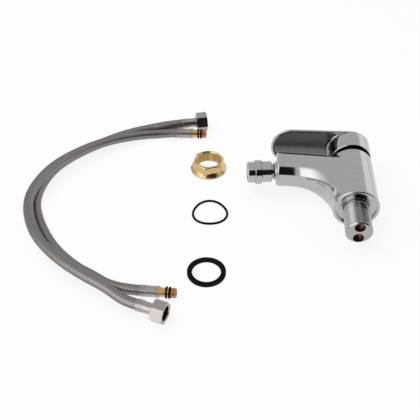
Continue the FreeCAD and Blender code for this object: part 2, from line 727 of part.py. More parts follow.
def stadium(body, radius, offset):
    """Sketch of the lever's outline: round at the cap and at the tip, with straight sides."""
    sketch = new_sketch(body, "XY", offset)
    r = radius.number
    reach = s.lever_reach - s.lever_half_width
    far = reach.number
    quarter = math.pi / 2
    sketch.addGeometry(Part.LineSegment(V(0, -r, 0), V(far, -r, 0)), False)
    sketch.addGeometry(Part.ArcOfCircle(Part.Circle(V(far, 0, 0), AXIS, r), -quarter, quarter), False)
    sketch.addGeometry(Part.LineSegment(V(far, r, 0), V(0, r, 0)), False)
    sketch.addGeometry(Part.ArcOfCircle(Part.Circle(V(0, 0, 0), AXIS, r), quarter, 3 * quarter), False)
    for first, end, second, start in ((0, 2, 1, 1), (1, 2, 2, 1), (2, 2, 3, 1), (3, 2, 0, 1)):
        sketch.addConstraint(Sketcher.Constraint("Tangent", first, end, second, start))
    sketch.addConstraint(Sketcher.Constraint("Coincident", 3, 3, -1, 1))
    sketch.addConstraint(Sketcher.Constraint("PointOnObject", 1, 3, -1))
    hold_length(sketch, Sketcher.Constraint("DistanceX", -1, 1, 1, 3, far), reach)
    hold_length(sketch, Sketcher.Constraint("Radius", 3, r), radius)
    return sketch


def hold_length(sketch, constraint, length):
    index = sketch.addConstraint(constraint)
    bind(sketch, f"Constraints[{index}]", length)


def lever():
    """Cap with its skirt, and the paddle with a shallow hollow below."""
    paddle_foot = lever_top - s.lever_rim
    cap = turned("cap_form", [
        (0, skirt_height - s.skirt_slope), (s.skirt_radius, skirt_height - s.skirt_slope),
        (s.lever_half_width, paddle_foot - s.lever_rim), (s.lever_half_width, lever_top), (0, lever_top)])
    paddle = new_body("paddle_form")
    pad(paddle, stadium(paddle, s.lever_half_width, paddle_foot), s.lever_rim)
    form = joined("lever_form", [cap, paddle])
    doc.recompute()
    test = level_edge(lever_top)
    soft = doc.addObject("Part::Fillet", "lever_soft")
    soft.Base = form
    radius = s.lever_round.number
    soft.Edges = [(i, radius, radius) for i, edge in enumerate(form.Shape.Edges, 1) if test(edge)]
    bore = turned("cap_hollow", [
        (0, skirt_height - s.skirt_slope - 1), (s.cap_bore, skirt_height - s.skirt_slope - 1),
        (s.cap_bore, lever_top - s.cap_ceiling - 4), (s.cap_bore - 4, lever_top - s.cap_ceiling),
        (0, lever_top - s.cap_ceiling)])
    fall = math.degrees(math.atan2(s.skirt_slope.number, 2 * s.skirt_radius.number))
    tilt = FreeCAD.Rotation(V(0, 1, 0), fall)
    half = s.lever_half_width + 10
    low = V(0, 0, skirt_height.number) + tilt.multVec(V(-half.number, -half.number, -half.number))
    skirt_cut = block("skirt_cut", (half * 2, half * 2, half), placement=FreeCAD.Placement(low, tilt))
    hollow = new_body("hollow_outline")
    pad(hollow, stadium(hollow, s.lever_half_width - s.recess_margin, paddle_foot - 1), s.lever_rim)
    crown = rod("hollow_crown", s.recess_curve, s.lever_reach * 2,
                (0, 0, paddle_foot + s.recess_depth - s.recess_curve), FORWARD)
    keep_cap = rod("keep_cap", s.lever_half_width + s.recess_gap, lever_top, (0, 0, 0))
    recess = less("recess", shared("recess_form", hollow, crown), [keep_cap])
    leaning = FreeCAD.Placement(V(0, 0, pivot.number), FreeCAD.Rotation()) * stem_lean
    boss_end = lever_top - s.cap_ceiling + 1 - pivot
    boss = rod("boss", s.boss_radius, boss_end - s.boss_start,
               placement=leaning * FreeCAD.Placement(V(0, 0, s.boss_start.number), FreeCAD.Rotation()))
    screw_boss = rod("screw_boss", s.screw_boss_radius, s.cap_bore + 0.5 - s.screw_boss_start,
                     (s.screw_boss_start, 0, screw_height), FORWARD)
    width = s.stem_square + s.stem_hole_gap * 2
    corner = V(-width.number / 2, -width.number / 2, 0)
    socket = block("stem_socket", (width, width, s.stem_top + 0.5),
                   placement=leaning * FreeCAD.Placement(corner, FreeCAD.Rotation()))
    screw_way = rod("screw_way", s.screw_radius + s.fit_gap, s.lever_half_width,
                    (s.stem_square / 2, 0, screw_height), FORWARD)
    plug_way = rod("plug_way", s.plug_radius + s.fit_gap, s.lever_half_width,
                   (s.lever_half_width - s.plug_length - s.plug_gap, 0, screw_height), FORWARD)
    shell = less("lever_shell", soft, [bore, skirt_cut, recess])
    whole = joined("lever_whole", [shell, boss, screw_boss])
    return node("lever", less("lever_cut", whole, [socket, screw_way, plug_way]), upright())


def grub_screw():
    """Screw in the lever that presses on the leaning stem, with a key socket in its outer end."""
    lean = math.radians(s.stem_tilt.number)
    rise = screw_height + s.screw_radius - pivot
    start = rise * math.tan(lean) + s.stem_square * (0.5 / math.cos(lean)) + s.fit_gap
    form = rod("screw_form", s.screw_radius, s.screw_length, (start, 0, screw_height), FORWARD)
    key = rod("screw_key", s.screw_key_radius, s.screw_length / 2,
              (start + s.screw_length / 2, 0, screw_height), FORWARD)
    return node("grub_screw", less("screw", form, [key]), upright())


def index_plug():
    """Plug over the screw, a little proud of the cap."""
    length = s.plug_length + s.plug_proud
    body = turned("plug", [(0, 0), (s.plug_radius, 0), (s.plug_radius, length - s.plug_edge),
                           (s.plug_radius - s.plug_edge, length), (0, length)])
    start = V((s.lever_half_width - s.plug_length).number, 0, 0)
    return node("index_plug", body, upright(screw_height) * FreeCAD.Placement(start, FORWARD))


def seat_ring():
    """Ring that holds the ball in the mouth, flush with the spout's upright face."""
    length = s.seat_back + s.ball_inset * 2
    ring = rod("seat_form", s.mouth_radius - s.fit_gap, length, (0, 0, -s.seat_back))
    socket = ball("seat_socket", s.ball_radius + s.running_gap)
    width = s.mouth_radius * 3
    corner = mouth_face - V(0, width.number / 2, width.number / 2)
    mouth_frame = FreeCAD.Placement(ball_centre, mouth_turn)
    beyond = mouth_frame.inverse() * FreeCAD.Placement(corner, FreeCAD.Rotation())
    face = block("seat_face", (width, width, width), placement=beyond)
    return node("seat_ring", less("seat", ring, [socket, face]), OUTLET)


def ball_seal():
    """Rubber cup behind the ball, which spins with it."""
    foot = -s.ball_seal_front - s.ball_seal_length
    form = rod("cup_form", s.mouth_radius - s.running_gap, s.ball_seal_length, (0, 0, foot))
    way = rod("cup_way", s.ball_seal_bore, s.ball_seal_length, (0, 0, foot))
    hollow = ball("cup_hollow", s.ball_radius + s.running_gap)
    return node("ball_seal", less("cup", form, [hollow, way]), OUTLET)


def swivel_ball():
    """Ball with a flat back, and the neck that the aerator screws on."""
    neck = rod("neck_form", s.ball_neck, s.ball_neck_length)
    form = joined("ball_form", [ball("ball_round", s.ball_radius), neck])
    back = rod("ball_back", s.ball_radius, s.ball_radius, (0, 0, -s.ball_back - s.ball_radius))
    way = rod("ball_way", s.ball_bore, s.ball_neck_length + s.ball_radius, (0, 0, -s.ball_radius))
    return node("swivel_ball", less("ball_cut", form, [back, way]), OUTLET)


aerator_end = s.aerator_start + s.aerator_length
insert_end = aerator_end - s.insert_inset
insert_start = insert_end - s.insert_length
washer_start = insert_start - s.washer_thickness


def aerator_housing():
    """Sleeve with a raised band, a socket for the ball's neck and a bore for the insert."""
    radius = s.aerator_radius
    band = s.aerator_start + s.band_start
    band_end = band + s.band_length
    socket = s.ball_neck + s.fit_gap
    return node("aerator_housing", turned("aerator", [
        (socket, s.aerator_start), (radius - s.aerator_edge, s.aerator_start),
        (radius, s.aerator_start + s.aerator_edge), (radius, band), (s.band_radius - s.band_edge, band),
        (s.band_radius, band + s.band_edge), (s.band_radius, band_end - s.band_edge),
        (s.band_radius - s.band_edge, band_end), (radius, band_end), (radius, aerator_end - s.aerator_edge),
        (radius - s.aerator_edge, aerator_end), (s.aerator_bore, aerator_end),
        (s.aerator_bore, washer_start), (s.aerator_way, washer_start),
        (s.aerator_way, s.ball_neck_length), (socket, s.ball_neck_length)]), OUTLET)


def aerator_insert():
    """Cup with a grid of holes in its floor, in rings of six, twelve and eighteen."""
    radius = s.aerator_bore - s.fit_gap
    cup = turned("insert_cup", [
        (radius - s.insert_wall, insert_start), (radius, insert_start), (radius, insert_end), (0, insert_end),
        (0, insert_end - s.insert_floor), (radius - s.insert_wall, insert_end - s.insert_floor)])
    foot = insert_end - s.insert_floor
    holes = [rod("grid_middle", s.grid_hole, s.insert_floor, (0, 0, foot))]
    for ring in range(1, int(s.grid_rings.number) + 1):
        for step in range(6 * ring):
            angle = math.pi * step / (3 * ring)
            at = (s.grid_pitch * (ring * math.cos(angle)), s.grid_pitch * (ring * math.sin(angle)), foot)
            holes.append(rod("grid_hole", s.grid_hole, s.insert_floor, at))
    return node("aerator_insert", less("insert", cup, holes), OUTLET)


def flat_ring(label, outer, inner, foot, thickness, placement):
    """Washer turned about Z."""
    return node(label, turned(label + "_form", [
        (inner, foot), (outer, foot), (outer, foot + thickness), (inner, foot + thickness)]), placement)


def o_ring(name, mean_radius, cord):
    """Ring of round cord about Z."""
    thing = doc.addObject("Part::Torus", name)
    bind(thing, "Radius1", mean_radius)
    bind(thing, "Radius2", cord)
    return thing


def lying(x, y, height=0.0):
    """Place for a loose piece that stands on the floor."""
    return FreeCAD.Placement(V(x, y, floor + height), FreeCAD.Rotation())


# Where the loose pieces lie on the floor, read from the photograph with its camera worked out.
BACKNUT_AT = (-158.6, 90.2)
O_RING_AT = (-153.1, 13.3)
GASKET_AT = (-152.0, -74.9)


def corners_off(body, flats, cut, end, inward):
    """Turn the corners of a hexagon down at one end, at thirty degrees."""
    corner = flats / math.sqrt(3)
    depth = (cut + 1) * (math.tan(math.radians(30)) * inward)
    turn_away(body, [(corner - cut, end), (corner + 1, end), (corner + 1, end + depth)])


def backnut():
    """Flanged hexagon nut with its threaded bore, standing on its flange."""
    hexagonal = new_body("backnut_hexagon")
    pad(hexagonal, hexagon(hexagonal, s.backnut_flats), s.backnut_height)
    corners_off(hexagonal, s.backnut_flats, s.backnut_corner_round, s.backnut_height, -1)
    flange = turned("backnut_flange_form", [
        (0, 0), (s.backnut_flange, 0), (s.backnut_flange, s.backnut_flange_rim),
        (s.backnut_flats / 2, s.backnut_flange_height), (0, s.backnut_flange_height)])
    lead = s.backnut_bore + s.backnut_lead
    bore = turned("backnut_hole", [
        (0, 0), (lead, 0), (s.backnut_bore, s.backnut_lead),
        (s.backnut_bore, s.backnut_height - s.backnut_lead), (lead, s.backnut_height), (0, s.backnut_height)])
    form = joined("backnut_form", [hexagonal, flange])
    return node("backnut", less("backnut_cut", form, [bore]), lying(*BACKNUT_AT))


# Hoses. A fitting is drawn about Z from the hose's end face outwards. Its place on the floor is given by the
# hose's end, its heading in degrees from X towards Y, and the straight run of hose behind it.
UP = V(0, 0, 1)
CORNER_SHARE = 0.45
ferrule_end = s.ferrule_length
tail_height = floor + (s.ferrule_radius + s.rest_gap).number
nut_height = floor + (s.swivel_flats / 2 + s.rest_gap).number
hose_height = floor + (s.hose_radius + s.rest_gap).number

# Each route runs from the M10 tail to the swivel nut; its corners are (x, y, rise above the floor). The outer
# hose climbs on to the inner one, crosses it and lies against it as far as the nut.
HOSES = (
    ("inner_hose", (-213.6, -107.1, -3.1, 14.4), (-194.6, 162.6, 12.5, 16.6),
     ((-247.4, -100.7, 0), (-264.7, -88.8, 0), (-283.1, -78.5, 0), (-311.4, -51.6, 0),
      (-335.0, -11.4, 0), (-345.6, 23.3, 0), (-338.2, 69.0, 0), (-315.5, 102.0, 0),
      (-278.7, 132.3, 0), (-257.2, 146.5, 0), (-234.7, 156.2, 0))),
    ("outer_hose", (-199.3, 148.6, 0.3, 9.1), (-214.4, -128.6, -19.3, 9.7),
     ((-220.7, 146.7, 0), (-242.5, 140.3, 2.4), (-276.8, 122.5, 6.7), (-306.1, 97.6, 9.6),
      (-333.6, 64.1, 11.5), (-347.3, 24.2, 11.7), (-346.0, -7.0, 10.8), (-331.1, -43.4, 9.7),
      (-303.9, -73.6, 8.9), (-272.1, -96.9, 8.9), (-247.5, -110.3, 8.1), (-232.5, -120.8, 5.4))),
)


def heading(angle):
    return V(math.cos(math.radians(angle)), math.sin(math.radians(angle)), 0)


def fitting_place(end, height):
    """Frame of a fitting: Z outwards along its heading, X up."""
    x, y, angle, run = end
    forward = heading(angle)
    return FreeCAD.Placement(V(x, y, height), FreeCAD.Rotation(UP, forward.cross(UP), forward, "ZXY"))


def route_points(tail, nut, corners):
    """Corners of a hose's route, with the straight run behind each fitting."""
    ends = []
    for (x, y, angle, run), height in ((tail, tail_height), (nut, nut_height)):
        start = V(x, y, height)
        ends.append((start, start - heading(angle) * run))
    middle = [V(x, y, hose_height + rise) for x, y, rise in corners]
    return [ends[0][0], ends[0][1]] + middle + [ends[1][1], ends[1][0]]


def hose_line(points):
    """Line of a hose: straight runs joined by tangent arcs, and the smallest arc's radius."""
    edges = []
    radii = []
    last = points[0]
    for before, corner, after in zip(points, points[1:], points[2:]):
        inward = (corner - before).normalize()
        outward_run = (after - corner).normalize()
        half_turn = inward.getAngle(outward_run) / 2
        cut = CORNER_SHARE * min(corner.distanceToPoint(before), corner.distanceToPoint(after))
        radius = cut / math.tan(half_turn)
        start = corner - inward * cut
        end = corner + outward_run * cut
        towards = (outward_run - inward).normalize()
        middle = corner + towards * (radius / math.cos(half_turn) - radius)
        edges.append(Part.LineSegment(last, start).toShape())
        edges.append(Part.Arc(start, middle, end).toShape())
        radii.append(radius)
        last = end
    edges.append(Part.LineSegment(last, points[-1]).toShape())
    return Part.Wire(edges), min(radii)


def swept(line, first, direction, radius):
    """Solid of a round section along a line."""
    section = Part.Wire(Part.Circle(first, direction, radius).toShape())
    return line.makePipeShell([section], True, False)


def hose_tube(label, points):
    """Hollow hose between its two end faces, drawn about its first point."""
    local = [point - points[0] for point in points]
    line, smallest = hose_line(local)
    direction = (local[1] - local[0]).normalize()
    outer = swept(line, local[0], direction, s.hose_radius.number)
    inner = swept(line, local[0], direction, s.hose_bore.number)
    tube = outer.cut(inner)
    section = math.pi * (s.hose_radius.number ** 2 - s.hose_bore.number ** 2)
    share = tube.Volume / (section * line.Length)
    print(f"{label}: length {line.Length:.1f}, smallest radius {smallest:.1f}, volume share {share:.4f}")
    if abs(share - 1) > 0.01:
        raise ValueError(f"{label}: the tube's volume is not its section times its length")
    return node(label, shaped(label + "_sweep", tube), FreeCAD.Placement(points[0], FreeCAD.Rotation()))


def ferrule(label, place):
    """Crimped sleeve, ribbed and then plain. The hose's crimped end is drawn as part of it."""
    bore = s.barb_radius + s.fit_gap
    radius = s.ferrule_radius
    plain = radius - s.crimp_depth
    pitch = s.crimp_length / 3
    profile = [(bore, 0), (radius, 0)]
    for turn_number in (1, 2):
        middle = pitch * turn_number
        profile += [(radius, middle - pitch / 5), (plain, middle - pitch / 5), (plain, middle + pitch / 5),
                    (radius, middle + pitch / 5)]
    profile += [(radius, s.crimp_length), (plain, s.crimp_length), (plain, ferrule_end), (bore, ferrule_end)]
    return node(label, turned(label + "_form", profile), place)


# The tail and the tailpiece start inside the ferrule and meet its end face with a fixed fit.
barb_start = ferrule_end - s.barb_length
shoulder = ferrule_end + s.fit_gap
collar_end = shoulder + s.collar_length
neck_end = collar_end + s.tail_neck_length
groove_step = s.tail_groove_width + s.tail_land
thread_start = neck_end + groove_step + s.tail_groove_width
tail_end = thread_start + s.tail_thread_length


def m10_tail(label, place):
    """Brass tail: collar, neck, two O-ring grooves and the M10 thread that screws into the shank."""
    groove = s.tail_groove_radius
    neck = s.tail_neck_radius
    return node(label, turned(label + "_form", [
        (s.tail_bore, barb_start), (s.barb_radius, barb_start), (s.barb_radius, shoulder),
        (s.collar_radius, shoulder), (s.collar_radius, collar_end), (neck, collar_end), (neck, neck_end),
        (groove, neck_end), (groove, neck_end + s.tail_groove_width), (neck, neck_end + s.tail_groove_width),
        (neck, neck_end + groove_step), (groove, neck_end + groove_step), (groove, thread_start),
        (s.tail_thread_radius, thread_start), (s.tail_thread_radius, tail_end - s.tail_chamfer),
        (s.tail_thread_radius - s.tail_chamfer, tail_end), (s.tail_bore, tail_end)]), place)


def tail_o_rings(label, place):
    """The tail's two O-rings, each in the middle of its groove."""
    mean_radius = s.tail_groove_radius + s.fit_gap + s.tail_ring_cord
    middle = neck_end + s.tail_groove_width / 2
    rings = [o_ring(label + "_ring", mean_radius, s.tail_ring_cord) for step in (0, 1)]
    for step, ring in enumerate(rings):
        put(ring, (0, 0, middle + groove_step * step))
    return node(label, joined(label + "_pair", rings), place)


nut_start = ferrule_end + s.running_gap
nut_wall_end = nut_start + s.swivel_wall
nut_end = nut_start + s.swivel_length
flange_start = nut_wall_end + s.running_gap
flange_end = flange_start + s.tailpiece_flange_length
washer_foot = flange_end + s.fit_gap
relief_end = washer_foot + s.nut_washer_thickness + s.running_gap


def nut_tailpiece(label, place):
    """Tailpiece whose flange the swivel nut pulls on."""
    neck = s.swivel_hole - s.running_gap
    return node(label, turned(label + "_form", [
        (s.tail_bore, barb_start), (s.barb_radius, barb_start), (s.barb_radius, shoulder), (neck, shoulder),
        (neck, flange_start), (s.tailpiece_flange, flange_start), (s.tailpiece_flange, flange_end),
        (s.tail_bore, flange_end)]), place)


def swivel_nut(label, place):
    """Hexagon nut with a flat down; its inner wall turns behind the tailpiece's flange."""
    body = new_body(label + "_form")
    pad(body, hexagon(body, s.swivel_flats, nut_start), s.swivel_length)
    corners_off(body, s.swivel_flats, s.swivel_chamfer, nut_start, 1)
    corners_off(body, s.swivel_flats, s.swivel_chamfer, nut_end, -1)
    lead = s.swivel_bore + s.swivel_chamfer
    turn_away(body, [
        (0, nut_start), (s.swivel_hole, nut_start), (s.swivel_hole, nut_wall_end),
        (s.swivel_relief, nut_wall_end), (s.swivel_relief, relief_end), (s.swivel_bore, relief_end),
        (s.swivel_bore, nut_end - s.swivel_chamfer), (lead, nut_end), (0, nut_end)])
    return node(label, body, place)


def hose(label, tail, nut, corners):
    """One hose with the fittings on its two ends."""
    hose_tube(label + "_tube", route_points(tail, nut, corners))
    tail_place = fitting_place(tail, tail_height)
    nut_place = fitting_place(nut, nut_height)
    ferrule(label + "_tail_ferrule", tail_place)
    m10_tail(label + "_m10_tail", tail_place)
    tail_o_rings(label + "_tail_o_rings", tail_place)
    ferrule(label + "_nut_ferrule", nut_place)
    nut_tailpiece(label + "_nut_tailpiece", nut_place)
    swivel_nut(label + "_swivel_nut", nut_place)
    flat_ring(label + "_nut_washer", s.swivel_bore - s.running_gap, s.nut_washer_bore, washer_foot,
              s.nut_washer_thickness, nut_place)


# The mixer's pieces.
for build in (body_casting, threaded_shank, cartridge_seals, cartridge_base, fixed_disc, moving_disc,
              disc_driver, turning_carrier, pivot_pin, stem, cartridge_housing, cartridge_nut, dome_ring,
              lever, grub_screw, index_plug, seat_ring, ball_seal, swivel_ball, aerator_housing,
              aerator_insert):
    build()
flat_ring("aerator_washer", s.aerator_bore - s.fit_gap, s.aerator_way, washer_start, s.washer_thickness,
          OUTLET)

# The loose pieces and the hoses.
backnut()
flat_ring("base_gasket", s.gasket_radius, s.gasket_bore, 0, s.gasket_thickness, lying(*GASKET_AT))
node("base_o_ring", o_ring("base_ring", s.ring_radius, s.ring_cord), lying(*O_RING_AT, s.ring_cord.number))
for hose_label, tail_end_place, nut_end_place, route in HOSES:
    hose(hose_label, tail_end_place, nut_end_place, route)

doc.recompute()
for thing in doc.Objects:
    if "Invalid" in thing.State or "Error" in thing.State:
        raise ValueError(f"{thing.Label} ({thing.Name}): {thing.State}")
os.makedirs("parts", exist_ok=True)
for piece in nodes:
    shape = piece.Shape
    if shape.isNull() or not shape.isValid() or not shape.Solids:
        raise ValueError(f"{piece.Label}: no valid solid")
    shape.exportStep(f"parts/{piece.Label}.step")
print(f"{len(nodes)} pieces")
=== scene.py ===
import math

import bmesh
import bpy
import numpy as np
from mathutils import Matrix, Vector


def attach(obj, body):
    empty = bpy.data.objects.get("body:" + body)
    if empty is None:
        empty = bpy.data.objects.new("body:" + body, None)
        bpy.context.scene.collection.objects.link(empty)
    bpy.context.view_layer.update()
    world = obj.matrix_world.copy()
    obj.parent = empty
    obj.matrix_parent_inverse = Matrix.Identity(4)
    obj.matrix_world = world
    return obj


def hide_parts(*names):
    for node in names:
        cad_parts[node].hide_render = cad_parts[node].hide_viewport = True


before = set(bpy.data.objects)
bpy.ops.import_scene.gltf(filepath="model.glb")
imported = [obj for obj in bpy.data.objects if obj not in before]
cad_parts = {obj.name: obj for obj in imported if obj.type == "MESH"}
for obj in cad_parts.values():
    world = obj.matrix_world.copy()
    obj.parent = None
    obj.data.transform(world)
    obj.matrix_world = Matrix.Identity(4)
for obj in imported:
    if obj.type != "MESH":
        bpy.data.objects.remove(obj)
bpy.context.view_layer.update()
scene = bpy.context.scene
scene.view_settings.view_transform = "Standard"
MM = 0.001

# Metal also sees soft panels and a dark opening behind the camera, as in a small product studio. The floor
# has its height in millimetres, its reach each way in metres, its grey and its share of own glow.
FLOOR = -24.5
FLOOR_REACH = 8.0
FLOOR_GREY = 0.92
FLOOR_GLOW = 0.86
# The world's level for plain light and for reflections.
WALL_LEVEL = 0.64
MIRRORED_WALL = 0.74
# Panels that glossy rays see: azimuths and their soft edges, elevations and their soft edges, in degrees, and
# the brightness. Azimuth is 0 towards the camera's side (-Y) and grows towards +X.
PANELS = (
    ((-6.0, 62.0), (5.0, 5.0), (4.0, 54.0), (4.0, 10.0), 0.015),
    ((-46.0, -24.0), (60.0, 9.0), (5.0, 46.0), (4.0, 24.0), 2.0),
    ((118.0, 165.0), (6.0, 6.0), (4.0, 20.0), (14.0, 4.0), 1.2),
)
# The lamp and the camera: places in metres, angles in degrees, and the lens in millimetres.
LAMP_PLACE = (-0.7, 0.1, 1.3)
LAMP_AIM = (-0.1, 0.0, 0.0)
LAMP_WIDTH = 1.2
LAMP_WATTS = 9.0
CAMERA_PLACE = (-0.1204, -0.6100, 0.5425)
CAMERA_TILT = 48.0
CAMERA_TURN = 3.0
CAMERA_LENS = 66.86


def node_tools(tree):
    """Two short ways: to add a node with its settings to a tree, and to link two sockets."""

    def add(kind, **settings):
        made = tree.nodes.new(kind)
        for name, value in settings.items():
            setattr(made, name, value)
        return made

    def link(source, target):
        tree.links.new(source, target)

    return add, link


def cleared(owner):
    """The same two ways for the emptied tree of a material or world."""
    owner.use_nodes = True
    owner.node_tree.nodes.clear()
    return node_tools(owner.node_tree)


def feed(link, socket, value):
    """Set a socket to a number, or link another socket to it."""
    if isinstance(value, (int, float)):
        socket.default_value = value
    else:
        link(value, socket)


def math_node(add, link, operation, *values):
    """A Math node on the given numbers and sockets."""
    made = add("ShaderNodeMath", operation=operation)
    for socket, value in zip(made.inputs, values):
        feed(link, socket, value)
    return made.outputs[0]


def soft_step(add, link, value, low, high, first=0.0, last=1.0):
    """The first level below low, the last above high, smooth between."""
    made = add("ShaderNodeMapRange", interpolation_type="SMOOTHSTEP")
    entries = (("Value", value), ("From Min", low), ("From Max", high), ("To Min", first), ("To Max", last))
    for name, entry in entries:
        feed(link, made.inputs[name], entry)
    return made.outputs["Result"]


def between(add, link, value, limits, edges):
    """1 between the limits, 0 beyond the soft edges outside them."""
    above = soft_step(add, link, value, limits[0] - edges[0], limits[0])
    beyond = soft_step(add, link, value, limits[1], limits[1] + edges[1])
    return math_node(add, link, "MULTIPLY", above, math_node(add, link, "SUBTRACT", 1.0, beyond))


def over(add, link, level, mask, value):
    """The level, replaced by the value where the mask is 1."""
    made = add("ShaderNodeMix", data_type="FLOAT")
    for name, entry in (("Factor", mask), ("A", level), ("B", value)):
        feed(link, made.inputs[name], entry)
    return made.outputs["Result"]


world = bpy.data.worlds.new("studio")
scene.world = world
add, link = cleared(world)
towards = add("ShaderNodeSeparateXYZ")
link(add("ShaderNodeTexCoord").outputs["Generated"], towards.inputs[0])
minus_y = math_node(add, link, "MULTIPLY", towards.outputs["Y"], -1.0)
azimuth = math_node(add, link, "DEGREES", math_node(add, link, "ARCTAN2", towards.outputs["X"], minus_y))
elevation = math_node(add, link, "DEGREES", math_node(add, link, "ARCSINE", towards.outputs["Z"]))
reflected = MIRRORED_WALL
for azimuths, sides, elevations, ends, brightness in PANELS:
    mask = math_node(add, link, "MULTIPLY", between(add, link, azimuth, azimuths, sides),
                     between(add, link, elevation, elevations, ends))
    reflected = over(add, link, reflected, mask, brightness)
path = add("ShaderNodeLightPath")
seen = over(add, link, WALL_LEVEL, path.outputs["Is Camera Ray"], 1.0)
background = add("ShaderNodeBackground")
background.inputs["Color"].default_value = (1, 1, 1, 1)
link(over(add, link, seen, path.outputs["Is Glossy Ray"], reflected), background.inputs["Strength"])
link(background.outputs[0], add("ShaderNodeOutputWorld").inputs["Surface"])

floor_mesh = bpy.data.meshes.new("floor")
floor_corners = [(side * FLOOR_REACH, end * FLOOR_REACH, FLOOR * MM)
                 for side, end in ((-1, -1), (1, -1), (1, 1), (-1, 1))]
floor_mesh.from_pydata(floor_corners, [], [(0, 1, 2, 3)])
floor = bpy.data.objects.new("floor", floor_mesh)
scene.collection.objects.link(floor)
paper = bpy.data.materials.new("white_floor")
add, link = cleared(paper)
path = add("ShaderNodeLightPath")
lit = add("ShaderNodeBsdfDiffuse")
lit.inputs["Color"].default_value = (FLOOR_GREY, FLOOR_GREY, FLOOR_GREY, 1)
glow = add("ShaderNodeEmission")
mirrored = math_node(add, link, "MAXIMUM", path.outputs["Is Glossy Ray"], path.outputs["Is Transmission Ray"])
shown = math_node(add, link, "MAXIMUM", path.outputs["Is Camera Ray"], mirrored)
blend = add("ShaderNodeMixShader")
link(math_node(add, link, "MULTIPLY", shown, FLOOR_GLOW), blend.inputs["Fac"])
link(lit.outputs[0], blend.inputs[1])
link(glow.outputs[0], blend.inputs[2])
link(blend.outputs[0], add("ShaderNodeOutputMaterial").inputs["Surface"])
floor_mesh.materials.append(paper)

lamp = bpy.data.lights.new("soft_lamp", "AREA")
lamp.shape = "DISK"
lamp.size = LAMP_WIDTH
lamp.energy = LAMP_WATTS
lamp_object = bpy.data.objects.new("soft_lamp", lamp)
lamp_object.location = LAMP_PLACE
aim = Vector(LAMP_AIM) - Vector(LAMP_PLACE)
lamp_object.rotation_euler = aim.to_track_quat("-Z", "Y").to_euler()
scene.collection.objects.link(lamp_object)
lamp_object.visible_glossy = False

camera = bpy.data.cameras.new("camera")
camera.lens = CAMERA_LENS
camera.sensor_width = 36.0
camera.clip_start = 0.01
camera_object = bpy.data.objects.new("camera", camera)
camera_object.location = CAMERA_PLACE
camera_object.rotation_euler = (math.radians(CAMERA_TILT), 0.0, math.radians(CAMERA_TURN))
scene.collection.objects.link(camera_object)
scene.camera = camera_object


# The shank: M28 x 1.5 thread with a relief below the base, and an end face with the two M10 sockets.
# The thread's columns end on the end face's rim points, so that the faces meet all round.
SHANK_RADIUS = 14.0
SHANK_END = -35.0
SHANK_CHAMFER = 1.2
# Radius and top of the end that sits in the body, and the relief's radius, its end and the thread's start.
SHANK_SEAT = (13.0, 12.0)
SHANK_RELIEF = (13.2, -1.2, -1.8)
# A thread: its lowest and highest height, its pitch, and its depth, which is negative in a bore.
SHANK_THREAD = (SHANK_END + SHANK_CHAMFER, SHANK_RELIEF[2], 1.5, 0.5)
SOCKET_OFFSET = 7.0
SOCKET_PROFILE = ((5.65, SHANK_END), (5.65, -30.5), (4.6, -30.5), (4.6, -17.5), (2.5, -17.5), (2.5, -8.0),
                  (0.0, -8.0))
SOCKET_THREAD = (-30.5, -17.5, 1.0, -0.4)
ROWS_PER_TURN = 9
THREAD_STEEPNESS = 0.9
END_ARC_POINTS = 100
END_LINE_POINTS = 26
GRAIN_DETAIL = 3.0
GRAIN_LIMITS = (0.35, 0.65)
# The Mix node's colour sockets, which share their names with its number sockets.
COLOUR_A, COLOUR_B, COLOUR_OUT = 6, 7, 2
# Points nearer than this, in millimetres, are welded. The tiny value keeps divisions clear of zero.
WELD = 0.002
TINY = 1e-6


def fine_grain():
    """Node group: a soft mask of even speckle and a bump height, at a scale given in cells per metre."""
    group = bpy.data.node_groups.new("fine_grain", "ShaderNodeTree")
    for name, way in (("Scale", "INPUT"), ("Detail", "INPUT"), ("Mask", "OUTPUT"), ("Height", "OUTPUT")):
        group.interface.new_socket(name=name, in_out=way, socket_type="NodeSocketFloat")
    add, link = node_tools(group)
    enter = add("NodeGroupInput")
    leave = add("NodeGroupOutput")
    noise = add("ShaderNodeTexNoise")
    link(add("ShaderNodeTexCoord").outputs["Object"], noise.inputs["Vector"])
    for name in ("Scale", "Detail"):
        link(enter.outputs[name], noise.inputs[name])
    link(soft_step(add, link, noise.outputs["Fac"], *GRAIN_LIMITS), leave.inputs["Mask"])
    link(noise.outputs["Fac"], leave.inputs["Height"])
    return group


speckle = fine_grain()


